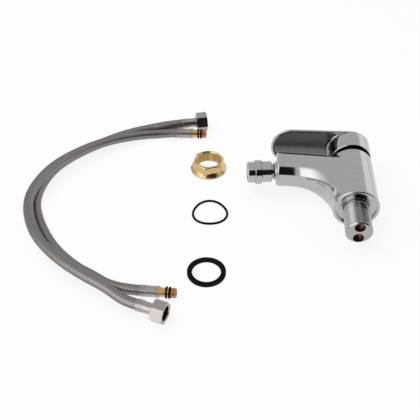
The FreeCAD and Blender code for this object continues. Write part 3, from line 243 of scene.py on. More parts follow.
def finish(name, colour, roughness, spread, scale, metallic=1.0, bump=0.0, tint=0.06, specular=0.5):
    """A finish whose roughness varies with the grain by the spread, and its colour by the tint.

    The scale is in cells per metre, and the bump's height in millimetres.
    """
    made = bpy.data.materials.new(name)
    add, link = cleared(made)
    shader = add("ShaderNodeBsdfPrincipled", name="shader")
    shader.inputs["Metallic"].default_value = metallic
    shader.inputs["Specular IOR Level"].default_value = specular
    grain = add("ShaderNodeGroup", node_tree=speckle)
    grain.inputs["Scale"].default_value = scale
    grain.inputs["Detail"].default_value = GRAIN_DETAIL
    rough = add("ShaderNodeMapRange")
    link(grain.outputs["Mask"], rough.inputs["Value"])
    rough.inputs["To Min"].default_value = roughness - spread
    rough.inputs["To Max"].default_value = roughness + spread
    link(rough.outputs["Result"], shader.inputs["Roughness"])
    shade = add("ShaderNodeMix", data_type="RGBA")
    link(grain.outputs["Mask"], shade.inputs["Factor"])
    shade.inputs[COLOUR_A].default_value = (*[level * (1 - tint) for level in colour], 1)
    shade.inputs[COLOUR_B].default_value = (*[min(level * (1 + tint), 1) for level in colour], 1)
    link(shade.outputs[COLOUR_OUT], shader.inputs["Base Color"])
    if bump:
        relief = add("ShaderNodeBump")
        relief.inputs["Distance"].default_value = bump * MM
        link(grain.outputs["Height"], relief.inputs["Height"])
        link(relief.outputs[0], shader.inputs["Normal"])
    link(shader.outputs[0], add("ShaderNodeOutputMaterial").inputs["Surface"])
    return made


def surface(name, parts, materials, sharp=35.0, relief=None):
    """A closed piece from grids of points in metres, each closed round its rows.

    A part is a grid of rows and columns, a mask of the faces to keep or None, and its material's number.
    The grids are welded where they meet, and the faces are turned outwards. Edges above the sharp angle, in
    degrees, stay sharp. The relief of each point, 0 to 1, is kept as an attribute for the material.
    """
    points, faces, looks = [], [], []
    for grid, keep, look in parts:
        rows, columns = grid.shape[:2]
        index = np.arange(rows * columns).reshape(rows, columns) + len(points)
        across = np.roll(index, -1, axis=1)
        quads = np.stack([index[:-1], across[:-1], across[1:], index[1:]], axis=-1)
        quads = quads.reshape(-1, 4) if keep is None else quads[keep]
        points.extend(grid.reshape(-1, 3).tolist())
        faces.extend(quads.tolist())
        looks.extend([look] * len(quads))
    mesh = bpy.data.meshes.new(name)
    mesh.from_pydata(points, [], faces)
    mesh.polygons.foreach_set("material_index", looks)
    if relief is not None:
        mesh.attributes.new("relief", "FLOAT", "POINT").data.foreach_set("value", relief.ravel())
    shape = bmesh.new()
    shape.from_mesh(mesh)
    bmesh.ops.remove_doubles(shape, verts=shape.verts, dist=WELD * MM)
    bmesh.ops.recalc_face_normals(shape, faces=shape.faces)
    shape.to_mesh(mesh)
    shape.free()
    for material in materials:
        mesh.materials.append(material)
    piece = bpy.data.objects.new(name, mesh)
    scene.collection.objects.link(piece)
    mesh.shade_smooth()
    mesh.set_sharp_from_angle(angle=math.radians(sharp))
    return piece


def ease(value, low, high):
    """0 below low, 1 above high, and between them 3 squares less 2 cubes of the share of the way."""
    share = np.clip((value - low) / (high - low), 0.0, 1.0)
    return share * share * (3.0 - 2.0 * share)


def turned(corners, turns, thread=None):
    """Grid of a turned profile, from its (radius, height) corners, at the given angles about Z.

    A thread is its lowest and highest height, its pitch and its depth, negative in a bore. The radius loses
    depth * clip(1/2 - steepness * sin(2 pi height / pitch + turn), 0, 1), faded out over one pitch.
    """
    rows = [corners[0]]
    for (radius, height), (next_radius, next_height) in zip(corners, corners[1:]):
        steps = 1
        if thread and radius == next_radius and thread[0] <= min(height, next_height) < thread[1]:
            steps = math.ceil(abs(next_height - height) / thread[2] * ROWS_PER_TURN)
        for step in range(1, steps + 1):
            share = step / steps
            rows.append((radius + (next_radius - radius) * share, height + (next_height - height) * share))
    radius, height = [column[:, None] for column in np.array(rows, dtype=float).T]
    turns = np.asarray(turns)[None, :]
    if thread:
        low, high, pitch, depth = thread
        relief = np.clip(0.5 - THREAD_STEEPNESS * np.sin(2 * np.pi * height / pitch + turns), 0.0, 1.0)
        inside = ease(height, low, low + pitch) * ease(-height, -high, -high + pitch)
        radius = radius - depth * relief * inside
    return np.stack([radius * np.cos(turns), radius * np.sin(turns), height + 0 * turns], axis=-1)


def laid(points):
    """Points of the mixer drawn upright, in millimetres, laid down in the row frame."""
    return np.stack([-points[..., 0], points[..., 2], points[..., 1]], axis=-1) * MM


def rim_distance(turns, radius):
    """Distance from a socket's centre to the edge of its half of the end face: the arc or the middle line."""
    arc = -SOCKET_OFFSET * np.sin(turns) + np.sqrt(radius ** 2 - (SOCKET_OFFSET * np.cos(turns)) ** 2)
    line = SOCKET_OFFSET / np.maximum(-np.sin(turns), TINY)
    return np.minimum(arc, line)


def circle_turns(count):
    """Even turns round a circle, without the last one, which is the first again."""
    return np.linspace(0.0, 2 * np.pi, count, endpoint=False)


end_radius = SHANK_RADIUS - SHANK_CHAMFER
corner_turn = math.atan2(SOCKET_OFFSET, end_radius)
arc_turns = np.linspace(-corner_turn, math.pi + corner_turn, END_ARC_POINTS)
line_turns = np.linspace(math.pi + corner_turn, 2 * math.pi - corner_turn, END_LINE_POINTS)[1:-1]
socket_turns = np.concatenate([arc_turns, line_turns])
rim = rim_distance(socket_turns, end_radius)
half_rim = np.stack([rim * np.cos(socket_turns), SOCKET_OFFSET + rim * np.sin(socket_turns),
                     np.full_like(rim, SHANK_END)], axis=-1)
upper_turns = np.arctan2(half_rim[:len(arc_turns), 1], half_rim[:len(arc_turns), 0])
shank_turns = np.concatenate([upper_turns, 2 * np.pi - upper_turns[-2:0:-1]])
shank_profile = ((0.0, SHANK_SEAT[1]), SHANK_SEAT, (SHANK_SEAT[0], 0.0), (SHANK_RELIEF[0], 0.0),
                 (SHANK_RELIEF[0], SHANK_RELIEF[1]), (SHANK_RADIUS, SHANK_RELIEF[2]),
                 (SHANK_RADIUS, SHANK_THREAD[0]), (end_radius, SHANK_END))
shank_parts = [(laid(turned(shank_profile, shank_turns, SHANK_THREAD)), None, 0)]
for side in (1, -1):
    mirrored = np.array([1.0, side, 1.0])
    hole = turned(SOCKET_PROFILE, socket_turns, SOCKET_THREAD) + np.array([0.0, SOCKET_OFFSET, 0.0])
    shank_parts.append((laid(np.stack([half_rim, hole[0]]) * mirrored), None, 0))
    shank_parts.append((laid(hole * mirrored), None, 1))
shank_plate = finish("shank_plate", (0.42, 0.41, 0.405), roughness=0.16, spread=0.03, scale=700.0, bump=0.004)
socket_brass = finish("socket_brass", (0.20, 0.15, 0.10), roughness=0.34, spread=0.08, scale=900.0, bump=0.01)
shank = surface("shank", shank_parts, [shank_plate, socket_brass])
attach(shank, "mixer")
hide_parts("threaded_shank")


# The body: column and arched spout in one casting. Its skin is where a field is zero, with the spout blended
# softly into the column; it is open at the seal groove, the cartridge's chamber and the spout's mouth.
BASE_RADIUS = 24.5
TOP_RADIUS = 23.4
COLUMN_TOP = 73.8
BASE_ROUND = 2.0
TOP_ROUND = 1.2
SPOUT_ROOT = 5.0
SPOUT_REACH = 82.5
SPOUT_HALF = 18.2
SPOUT_FLARE = 2.8
FLARE_POWER = 4
SPOUT_TOP = 76.0
SPOUT_RISE = 5.7
SPOUT_CLIMB = 1.5
SPOUT_LEAST_FLAT = 0.1
SPOUT_FOOT = 44.3
TIP_ROUND = 2.4
ARCH_FOOT = 10.0
ARCH_START = 23.5
ARCH_FALL = 3.6
# The spout's top leaves the column's top between these distances from the axis. The blend between the two
# grows to its full width between the next two, and dies out above its height and below its foot.
TOP_MERGE = (12.0, 24.0)
BLEND = 9.0
BLEND_GROWTH = (6.0, 20.0)
BLEND_HEIGHT = 60.0
BLEND_FOOT = 14.0
MOUTH_TILT = math.radians(7.0)
MOUTH_HEIGHT = 59.3
MOUTH_RADIUS = 13.6
MOUTH_DEPTH = 20.0
MOUTH_MARGIN = 0.7
ON_FACE = 0.001
BASE_PROFILE = ((0.0, 12.0), (13.05, 12.0), (13.05, 0.0), (16.2, 0.0), (16.2, 2.6), (21.2, 2.6), (21.2, 0.0))
CHAMBER_PROFILE = ((19.05, COLUMN_TOP), (19.05, 66.0), (17.55, 66.0), (17.55, 40.0), (0.0, 40.0))
TOP_RING = 21.0
# The skin is looked for from this centre, out to the reach, and its grid is closer on bends and near the tip.
SKIN_CENTRE = np.array([8.0, 0.0, 58.0])
SKIN_REACH = 140.0
HALVINGS = 34
SKIN_COLUMNS = 300
SKIN_ROWS = 210
FIRST_TURNS = 2401
FIRST_CLIMBS = 500
BASE_ROUND_ROWS = 5
BEND_SHARE = 3.0
TIP_SHARE = 1.2
TIP_CLOSE = (62.0, 78.0)
mouth_face = np.array([SPOUT_REACH, 0.0, MOUTH_HEIGHT])
outward = np.array([math.cos(MOUTH_TILT), 0.0, -math.sin(MOUTH_TILT)])


def rounded_corner(one, other, radius):
    """Field of what lies inside both fields, with the edge between them rounded.

    Both are grown by the radius, and the length of their positive parts is taken less the radius.
    """
    one, other = one + radius, other + radius
    outside = np.hypot(np.maximum(one, 0.0), np.maximum(other, 0.0))
    return np.minimum(np.maximum(one, other), 0.0) + outside - radius


def body_field(points):
    """Negative inside the casting, 0 on its skin.

    The column's radius is linear in the height. The spout's section is a slot. With s from 0 at the tip to 1
    at the root, its half width grows with s to the power FLARE_POWER, and its top falls with s to the power
    SPOUT_CLIMB until it is eased into the column's. Its bottom falls with s to the power ARCH_FALL, where s
    reaches 1 at the arch's start. A smooth minimum over the blend's width joins the spout and the column.
    """
    x, y, z = points[..., 0], points[..., 1], points[..., 2]
    rise = np.clip((z - BASE_ROUND) / (COLUMN_TOP - TOP_ROUND - BASE_ROUND), 0.0, 1.0)
    wall = np.hypot(x, y) - BASE_RADIUS - (TOP_RADIUS - BASE_RADIUS) * rise
    column = rounded_corner(wall, z - COLUMN_TOP, TOP_ROUND)
    inward = (SPOUT_REACH - x) / (SPOUT_REACH - SPOUT_ROOT)
    back = np.clip((SPOUT_REACH - x) / (SPOUT_REACH - ARCH_START), 0.0, 1.0)
    half = SPOUT_HALF + SPOUT_FLARE * np.clip(inward, 0.0, 1.0) ** FLARE_POWER
    top = SPOUT_TOP + SPOUT_RISE * (1.0 - np.clip(inward, 0.0, 1.0) ** SPOUT_CLIMB)
    top = COLUMN_TOP + (top - COLUMN_TOP) * ease(x, *TOP_MERGE)
    bottom = SPOUT_FOOT - (SPOUT_FOOT - ARCH_FOOT) * back ** ARCH_FALL
    flat = np.maximum((top - bottom) / 2 - half, SPOUT_LEAST_FLAT)
    side = np.hypot(y, np.maximum(np.abs(z - (top + bottom) / 2) - flat, 0.0)) - half
    spout = rounded_corner(np.maximum(side, SPOUT_ROOT - x), x - SPOUT_REACH, TIP_ROUND)
    fading = ease(-z, -COLUMN_TOP, -BLEND_HEIGHT) * ease(z, 0.0, BLEND_FOOT)
    width = BLEND * ease(x, *BLEND_GROWTH) * fading + TINY
    overlap = np.maximum(width - np.abs(column - spout), 0.0) / width
    return np.minimum(column, spout) - overlap ** 2 * width / 4


def skin_points(turns, climbs):
    """Points of the skin seen from its centre at these azimuths and elevations, found by halving."""
    aim = np.stack(np.broadcast_arrays(np.cos(climbs) * np.cos(turns), np.cos(climbs) * np.sin(turns),
                                       np.sin(climbs)), axis=-1)
    near, far = np.zeros(aim.shape[:-1]), np.full(aim.shape[:-1], SKIN_REACH)
    for _ in range(HALVINGS):
        middle = (near + far) / 2
        inside = body_field(SKIN_CENTRE + aim * middle[..., None]) < 0
        near, far = np.where(inside, middle, near), np.where(inside, far, middle)
    return SKIN_CENTRE + aim * near[..., None]


def paced(line, parameter, count):
    """Values of the parameter at even steps along a line, the steps shorter on its bends and near the tip."""
    steps = np.diff(line, axis=0)
    lengths = np.linalg.norm(steps, axis=1)
    ways = steps / lengths[:, None]
    bends = np.concatenate([[0.0], np.linalg.norm(np.diff(ways, axis=0), axis=1)])
    measure = lengths * (1 + TIP_SHARE * ease(line[1:, 0], *TIP_CLOSE)) + BEND_SHARE * bends
    total = np.concatenate([[0.0], np.cumsum(measure)])
    return np.interp(np.linspace(0.0, total[-1], count), total, parameter)


def ring_distance(turns, radius):
    """Level distance from the skin's centre to a circle about the column's axis, by the law of cosines."""
    offset = SKIN_CENTRE[0]
    return -offset * np.cos(turns) + np.sqrt(radius ** 2 - (offset * np.sin(turns)) ** 2)


def ring_turns(turns, radius):
    """Angles about the column's axis where those level lines meet the circle."""
    distance = ring_distance(turns, radius)
    return np.arctan2(distance * np.sin(turns), SKIN_CENTRE[0] + distance * np.cos(turns))


def body_rows():
    """Rows of the casting's surface from the shank's seat, over the skin, to the floor of the chamber."""
    dense = np.linspace(-np.pi, np.pi, FIRST_TURNS)
    turns = paced(skin_points(dense, 0.0 * dense), dense, SKIN_COLUMNS + 1)[:-1]
    lowest = np.arctan2(BASE_ROUND - SKIN_CENTRE[2], ring_distance(turns, BASE_RADIUS))
    highest = np.arctan2(COLUMN_TOP - SKIN_CENTRE[2], ring_distance(turns, TOP_RING))
    shares = np.linspace(0.0, 1.0, FIRST_CLIMBS)
    climbs = lowest[:, None] + (highest - lowest)[:, None] * shares
    profiles = skin_points(turns[:, None], climbs)
    climbs = np.stack([paced(line, climb, SKIN_ROWS) for line, climb in zip(profiles, climbs)])
    skin = skin_points(turns[:, None], climbs).transpose(1, 0, 2)
    edge = [(BASE_RADIUS - BASE_ROUND * (1 - math.cos(angle)), BASE_ROUND * (1 - math.sin(angle)))
            for angle in np.radians(np.linspace(90.0, 0.0, BASE_ROUND_ROWS))]
    foot = turned(list(BASE_PROFILE) + edge, ring_turns(turns, BASE_RADIUS))
    head = turned([(TOP_RING, COLUMN_TOP)] + list(CHAMBER_PROFILE), ring_turns(turns, TOP_RING))
    return np.concatenate([foot, skin[1:-1], head])


def open_loop(dropped):
    """The (row, column) corners round the dropped faces of a grid, in order."""
    columns = dropped.shape[1]
    edges = set()
    for row, column in np.argwhere(dropped).tolist():
        ahead = (column + 1) % columns
        corners = [(row, column), (row, ahead), (row + 1, ahead), (row + 1, column)]
        edges ^= {edge for edge in zip(corners, corners[1:] + corners[:1])}
    outer = {start: end for start, end in edges if (end, start) not in edges}
    loop = [next(iter(outer))]
    while outer[loop[-1]] != loop[0]:
        loop.append(outer[loop[-1]])
    return loop


def cut_out(grid, inside):
    """The faces of a grid whose four corners are all inside, and the loop of points round them."""
    pairs = inside & np.roll(inside, -1, axis=1)
    gone = pairs[:-1] & pairs[1:]
    return gone, np.array([grid[place] for place in open_loop(gone)])


def mouth_rings(loop):
    """Rings from the loop in the tip's face to the bore's edge, in to its floor and to the floor's middle."""
    angle = np.arctan2(loop[:, 1], loop[:, 2] - mouth_face[2])
    across = np.array([0.0, 1.0, 0.0])
    upward = np.cross(outward, across)
    upward = upward * np.sign(upward[2])
    # A point at this angle in the upright face, brought on to the bore along the bore's own axis.
    slope = np.cos(angle) / upward[2]
    size = MOUTH_RADIUS / np.hypot(np.sin(angle), slope * upward[2] ** 2)
    edge = mouth_face + np.stack([0 * angle, size * np.sin(angle), size * np.cos(angle)], axis=-1)
    floor_ring = edge - outward * (MOUTH_DEPTH + (edge - mouth_face) @ outward)[:, None]
    middle = np.broadcast_to(mouth_face - outward * MOUTH_DEPTH, edge.shape)
    return np.stack([loop, edge, floor_ring, middle])


casting = body_rows()
from_mouth = np.hypot(casting[..., 1], casting[..., 2] - mouth_face[2])
in_mouth = (casting[..., 0] > SPOUT_REACH - ON_FACE) & (from_mouth < MOUTH_RADIUS + MOUTH_MARGIN)
mouth_gone, mouth_loop = cut_out(casting, in_mouth)
chrome = finish("chrome_plate", (0.47, 0.456, 0.465), roughness=0.06, spread=0.02, scale=90.0, bump=0.002,
                tint=0.02)
body = surface("body", [(laid(casting), ~mouth_gone, 0), (laid(mouth_rings(mouth_loop)), None, 0)], [chrome],
               sharp=45.0)
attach(body, "mixer")
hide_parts("body_casting")


# The cartridge: a ported plate, two lapped ceramic discs and their driver in a moulded shell, with seals
# below. The lever's stem tilts on a pin in the turning carrier, and a slotted brass ring nut holds it down.
rubber = finish("black_rubber", (0.004, 0.004, 0.0042), metallic=0.0, roughness=0.55, spread=0.08,
                scale=1200.0, bump=0.02, specular=0.06)
polymer = finish("white_polymer", (0.80, 0.80, 0.78), metallic=0.0, roughness=0.38, spread=0.06, scale=700.0,
                 bump=0.01)
ceramic = finish("lapped_ceramic", (0.86, 0.85, 0.82), metallic=0.0, roughness=0.16, spread=0.04,
                 scale=1500.0)
zinc = finish("cast_zinc", (0.50, 0.50, 0.50), roughness=0.42, spread=0.08, scale=900.0, bump=0.02)
brass = finish("turned_brass", (0.62, 0.455, 0.22), roughness=0.20, spread=0.04, scale=900.0, bump=0.006)


def dress(material, *nodes):
    """Give CAD pieces their finish."""
    for node in nodes:
        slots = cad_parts[node].data.materials
        slots.clear()
        slots.append(material)


dress(rubber, "cartridge_seals")
dress(polymer, "cartridge_base", "disc_driver", "turning_carrier", "cartridge_housing")
dress(ceramic, "fixed_disc", "moving_disc")
dress(zinc, "pivot_pin", "stem")
dress(brass, "cartridge_nut")


# The dome ring: a moulded trim over the ring nut, a sphere about the stem's pivot. It fills the gap under the
# lever's skirt, and its near-black colour is painted shade in that gap, which shows as a black crescent.
PIVOT_HEIGHT = 70.0
DOME_RADIUS = 20.4
DOME_WALL = 1.5
DOME_HOLE = 12.4
DOME_STEPS = 24
DOME_COLUMNS = 120
# Near black: painted shade in the gap under the lever's skirt.
trim = finish("dark_trim", (0.004, 0.004, 0.0045), metallic=0.0, roughness=0.42, spread=0.05, scale=800.0,
              specular=0.1)


def dome_arc(radius):
    """Radius and height along a sphere about the pivot, from the column's top to the hole."""
    lowest = math.asin((COLUMN_TOP - PIVOT_HEIGHT) / radius)
    highest = math.acos(DOME_HOLE / radius)
    return [(radius * math.cos(angle), PIVOT_HEIGHT + radius * math.sin(angle))
            for angle in np.linspace(lowest, highest, DOME_STEPS)]


outer_arc, inner_arc = dome_arc(DOME_RADIUS), dome_arc(DOME_RADIUS - DOME_WALL)
dome_rows = turned(outer_arc + inner_arc[::-1] + outer_arc[:1], circle_turns(DOME_COLUMNS))
dome = surface("trim_dome", [(laid(dome_rows), None, 0)], [trim], sharp=40.0)
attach(dome, "mixer")
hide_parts("dome_ring")


# The lever: a plated zinc casting, a cap over the cartridge with a flat paddle. The paddle is hollow below,
# where the plating is duller and its colour is darkened as painted shade. A small hole in the cap's front
# wall takes the plug over the screw.
LEVER_HALF = 23.5
LEVER_TOP = 108.0
LEVER_TIP = 64.5
PADDLE_FOOT = 103.3
TOP_INSETS = (LEVER_HALF, 15.0, 7.0)
TOP_EDGE = 3.6
# The rim round the hollow reaches its full width where the paddle stands this far out of the cap.
RIM_GROWTH = 5.0
RIM_EDGE = 1.0
RIM_WIDTH = 2.3
CAP_FILLET = 1.6
CAP_STEP = 1.3
HOLLOW_WALL = 1.4
HOLLOW_DEPTH = 2.8
HOLLOW_EDGE_DEPTH = 1.7
# Room between the cap and the rim where the walls have their full width, and over which the hollow deepens.
WALL_ROOM = 6.0
DEEPENING = (4.0, 10.0)
SKIRT_RADIUS = 22.9
# Heights between which the skirt widens to the cap, its rim's height at the middle, and the rim's whole drop.
SKIRT_TAPER = (77.1, 98.6)
SKIRT_MIDDLE = 80.8
SKIRT_DROP = 2.8
SKIRT_EDGE = 0.4
CAP_PROFILE = ((21.4, 100.4), (17.4, 104.4), (0.0, 104.4))
SCREW_HEIGHT = 97.4
PLUG_RADIUS = 3.45
PLUG_FLOOR = 21.9
PLUG_MARGIN = 0.4
# Columns along each side and round each half circle, and rows on the edges, the hollow's walls and floor, and
# the upper and lower half of the skirt.
SIDE_STEPS = 44
ARC_STEPS = 72
EDGE_STEPS = 9
WALL_STEPS = 6
FLOOR_STEPS = 30
SKIRT_STEPS = (34, 9)


def lever_outline():
    """Centres and outward directions round the lever's outline: two straight sides and two half circles."""
    along = np.arange(SIDE_STEPS) / SIDE_STEPS
    turn = np.pi * np.arange(ARC_STEPS) / ARC_STEPS
    centre_x = np.concatenate([LEVER_TIP * (1 - along), np.zeros(ARC_STEPS), LEVER_TIP * along,
                               np.full(ARC_STEPS, LEVER_TIP)])
    heading = np.concatenate([np.full(SIDE_STEPS, np.pi / 2), np.pi / 2 + turn,
                              np.full(SIDE_STEPS, -np.pi / 2), -np.pi / 2 + turn])
    centre = np.stack([centre_x, 0 * centre_x], axis=-1)
    return centre, np.stack([np.cos(heading), np.sin(heading)], axis=-1)


def stacked(flat_rows, heights):
    """Rows of points in space from rows of plan points and their heights."""
    rows = []
    for flat, height in zip(flat_rows, heights):
        rows.append(np.concatenate([flat, np.broadcast_to(height, flat.shape[:1])[:, None]], axis=1))
    return np.stack(rows)


def darken(material, factor):
    """Multiply a finish's colour by the value of a socket in its tree."""
    add, link = node_tools(material.node_tree)
    base = material.node_tree.nodes["shader"].inputs["Base Color"]
    dimmed = add("ShaderNodeMix", data_type="RGBA", blend_type="MULTIPLY")
    dimmed.inputs["Factor"].default_value = 1.0
    link(base.links[0].from_socket, dimmed.inputs[COLOUR_A])
    link(factor, dimmed.inputs[COLOUR_B])
    link(dimmed.outputs[COLOUR_OUT], base)


centre, direction = lever_outline()
quarter = np.radians(np.linspace(0.0, 90.0, EDGE_STEPS))
# How far the paddle stands out of the cap at each column, and so how much rim it has there.
stand = np.linalg.norm(centre + direction * LEVER_HALF, axis=1) - LEVER_HALF
share = ease(stand, 0.0, RIM_GROWTH)
upper_rows, upper_heights = [], []
for inset in TOP_INSETS:
    upper_rows.append(centre + direction * (LEVER_HALF - inset))
    upper_heights.append(LEVER_TOP)
for angle in quarter:
    upper_rows.append(centre + direction * (LEVER_HALF - TOP_EDGE * (1 - math.sin(angle))))
    upper_heights.append(LEVER_TOP - TOP_EDGE * (1 - math.cos(angle)))
for angle in quarter[::2]:
    inset = RIM_EDGE * share * (1 - math.cos(angle))
    upper_rows.append(centre + direction * (LEVER_HALF - inset)[:, None])
    upper_heights.append(PADDLE_FOOT + RIM_EDGE * share * (1 - math.sin(angle)))
inner_rim = centre + direction * (LEVER_HALF - RIM_WIDTH * share)[:, None]
upper_rows.append(inner_rim)
upper_heights.append(PADDLE_FOOT)

# Below, each column runs from the rim to the cap's wall along a line through the cap's axis.
reach = np.linalg.norm(inner_rim, axis=1)
ray = inner_rim / reach[:, None]
room = np.maximum(reach - LEVER_HALF, 0.0)
squeeze = np.minimum(room / WALL_ROOM, 1.0)
depth_share = ease(room, *DEEPENING)


def hollow_rise(plan, gap):
    """Rise of the hollow over the paddle's foot.

    It is a crown that falls with the square of the distance across the paddle, with eased walls all round.
    """
    across = np.clip(np.abs(plan[:, 1]) / (LEVER_HALF - RIM_WIDTH), 0.0, 1.0)
    crown = HOLLOW_DEPTH + (HOLLOW_EDGE_DEPTH - HOLLOW_DEPTH) * across ** 2
    wall = ease(gap - CAP_STEP, 0.0, HOLLOW_WALL) * ease(room - gap, 0.0, HOLLOW_WALL)
    return crown * wall * depth_share


wall_steps = np.linspace(0.0, 1.0, WALL_STEPS)
gaps = [CAP_STEP * squeeze + HOLLOW_WALL * squeeze * step for step in wall_steps]
inner_gap, outer_gap = gaps[-1], room - HOLLOW_WALL * squeeze
gaps += [inner_gap + (outer_gap - inner_gap) * step for step in np.linspace(0.0, 1.0, FLOOR_STEPS)[1:-1]]
gaps += [outer_gap + HOLLOW_WALL * squeeze * step for step in wall_steps]
hollow_rows = [ray * (LEVER_HALF + gap)[:, None] for gap in gaps[::-1]]
hollow_heights = [PADDLE_FOOT + hollow_rise(plan, gap) for plan, gap in zip(hollow_rows, gaps[::-1])]

fillet = CAP_FILLET * squeeze
fillet_reach = np.minimum(fillet, CAP_STEP * squeeze)
lower_rows, lower_heights = [hollow_rows[-1]], [PADDLE_FOOT]
for angle in quarter[::2]:
    lower_rows.append(ray * (LEVER_HALF + fillet_reach * (1 - math.sin(angle)))[:, None])
    lower_heights.append(PADDLE_FOOT - fillet * (1 - math.cos(angle)))
skirt_rim = SKIRT_MIDDLE - SKIRT_DROP / 2 * ray[:, 0]
skirt_top = PADDLE_FOOT - fillet
upper_steps, lower_steps = SKIRT_STEPS
skirt_steps = np.concatenate([np.linspace(0.0, 0.5, upper_steps), np.linspace(0.5, 1.0, lower_steps)[1:]])
low, high = SKIRT_TAPER
for step in skirt_steps[1:]:
    height = skirt_top + (skirt_rim + SKIRT_EDGE - skirt_top) * step
    radius = SKIRT_RADIUS + (LEVER_HALF - SKIRT_RADIUS) * np.clip((height - low) / (high - low), 0.0, 1.0)
    lower_rows.append(ray * radius[:, None])
    lower_heights.append(height)
skirt_radius = np.linalg.norm(lower_rows[-1], axis=1)
rim_row = len(lower_rows)
lower_rows += [ray * (skirt_radius - SKIRT_EDGE)[:, None], ray * CAP_PROFILE[0][0]]
lower_heights += [skirt_rim, skirt_rim]
for radius, height in CAP_PROFILE:
    lower_rows.append(ray * radius)
    lower_heights.append(height)
lower = stacked(lower_rows, lower_heights)
from_plug = np.hypot(lower[..., 1], lower[..., 2] - SCREW_HEIGHT)
by_plug = (lower[..., 0] > PLUG_FLOOR) & (from_plug < PLUG_RADIUS + PLUG_MARGIN)
plug_gone, plug_loop = cut_out(lower, by_plug)
plug_angle = np.arctan2(plug_loop[:, 1], plug_loop[:, 2] - SCREW_HEIGHT)
plug_y, plug_z = PLUG_RADIUS * np.sin(plug_angle), SCREW_HEIGHT + PLUG_RADIUS * np.cos(plug_angle)
plug_hole = np.stack([
    plug_loop, np.stack([np.sqrt(LEVER_HALF ** 2 - plug_y ** 2), plug_y, plug_z], axis=-1),
    np.stack([0 * plug_y + PLUG_FLOOR, plug_y, plug_z], axis=-1),
    np.broadcast_to([PLUG_FLOOR, 0.0, SCREW_HEIGHT], plug_loop.shape)])
# The hollow's plating: its dark colour is painted shade under the paddle.
painted_shade_plate = finish("painted_shade_plate", (0.21, 0.205, 0.21), roughness=0.16, spread=0.03, scale=150.0, bump=0.004)
# A painted dark reflection along the hollow's middle, multiplied into its colour: height across the paddle
# and brightness.
PAINTED_REFLECTION_STREAK = ((-21.0, 1.0), (-13.0, 0.92), (-8.0, 0.76), (-3.0, 0.56), (0.0, 0.26), (3.0, 0.22), (9.0, 0.34),
          (21.0, 0.48))
add, link = node_tools(painted_shade_plate.node_tree)
place = add("ShaderNodeSeparateXYZ")
link(add("ShaderNodeTexCoord").outputs["Object"], place.inputs[0])
height = add("ShaderNodeMapRange")
height.inputs["From Min"].default_value = PAINTED_REFLECTION_STREAK[0][0] * MM
height.inputs["From Max"].default_value = PAINTED_REFLECTION_STREAK[-1][0] * MM
link(place.outputs["Z"], height.inputs["Value"])
# A new ramp has two stops already.
ramp = add("ShaderNodeValToRGB")
for index, (across, brightness) in enumerate(PAINTED_REFLECTION_STREAK):
    at = (across - PAINTED_REFLECTION_STREAK[0][0]) / (PAINTED_REFLECTION_STREAK[-1][0] - PAINTED_REFLECTION_STREAK[0][0])
    stop = ramp.color_ramp.elements[index] if index < 2 else ramp.color_ramp.elements.new(at)
    stop.position = at
    stop.color = (brightness, brightness, brightness, 1)
link(height.outputs["Result"], ramp.inputs["Fac"])
# The ramp darkens the hollow's colour with the painted reflection.
darken(painted_shade_plate, ramp.outputs["Color"])
# The plating doesn't reach the skirt's inside, and its near-black colour is painted shade inside the cap.
painted_shade_inside = finish("painted_shade_inside", (0.012, 0.012, 0.012), metallic=0.0, roughness=0.60, spread=0.05,
                     scale=700.0, specular=0.1)
lever_parts = [
    (laid(stacked(upper_rows, upper_heights)), None, 0),
    (laid(stacked(hollow_rows, hollow_heights)), None, 1),
    (laid(lower[:rim_row + 1]), ~plug_gone[:rim_row], 0),
    (laid(plug_hole), None, 0),
    (laid(lower[rim_row:]), ~plug_gone[rim_row:], 2),
]
lever = surface("lever_skin", lever_parts, [chrome, painted_shade_plate, painted_shade_inside], sharp=40.0)
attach(lever, "lever")
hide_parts("lever")


# The grub screw, which holds the lever to its stem through the hole in the cap, and the small bright plug
# that is pressed in over it.
dress(zinc, "grub_screw")
dress(finish("plug_gloss", (0.70, 0.70, 0.70), roughness=0.16, spread=0.04, scale=900.0), "index_plug")


# The outlet: a plated ball with a short neck turns in a seat ring in the spout's mouth, with a rubber cup
# behind it. The aerator is screwed on the neck, and its insert of moulded screens sits on a flat washer.
dress(chrome, "seat_ring", "swivel_ball", "aerator_housing")
dress(rubber, "ball_seal", "aerator_washer")
dress(polymer, "aerator_insert")


# The backnut: a brass hexagon turned down to a wide chamfer at its top, on a conical flange, with an M28
# thread. It stands on its flange, with a flat turned a little to the right of the camera.
BACKNUT_AT = np.array([-158.6, 90.2, FLOOR])
BACKNUT_TURN = math.radians(-71.0)
BACKNUT_HEIGHT = 14.0
HALF_FLATS = 16.0
BLUNT_CORNER = 18.2
CHAMFER_RADIUS = 15.0
CHAMFER_FALL = 0.62
# Radius and height round the flange, and where its cone meets the hexagon.
FLANGE_PROFILE = ((14.3, 0.0), (20.2, 0.0), (20.5, 0.3), (20.5, 1.5), (20.2, 1.8))
FLANGE_CONE = (16.0, 5.0)
# Radius of the bore, its lead-in, and the thread's pitch and depth.
BACKNUT_BORE = (13.3, 1.0, 1.5, -0.7)
BACKNUT_COLUMNS = 288
BEVEL = 0.3


def hexagon_radius(turns):
    """Half the flats' distance over the cosine of the angle from a flat's middle, up to the blunt corner."""
    sector = np.pi / 3
    within = np.mod(turns - BACKNUT_TURN + sector / 2, sector) - sector / 2
    return np.minimum(HALF_FLATS / np.cos(within), BLUNT_CORNER)


turns = circle_turns(BACKNUT_COLUMNS)
across = hexagon_radius(turns)
(rim_radius, rim_height), (cone_radius, cone_height) = FLANGE_PROFILE[-1], FLANGE_CONE
cone = cone_height - (across - cone_radius) * (cone_height - rim_height) / (rim_radius - cone_radius)
chamfer = BACKNUT_HEIGHT - (across - CHAMFER_RADIUS) * CHAMFER_FALL
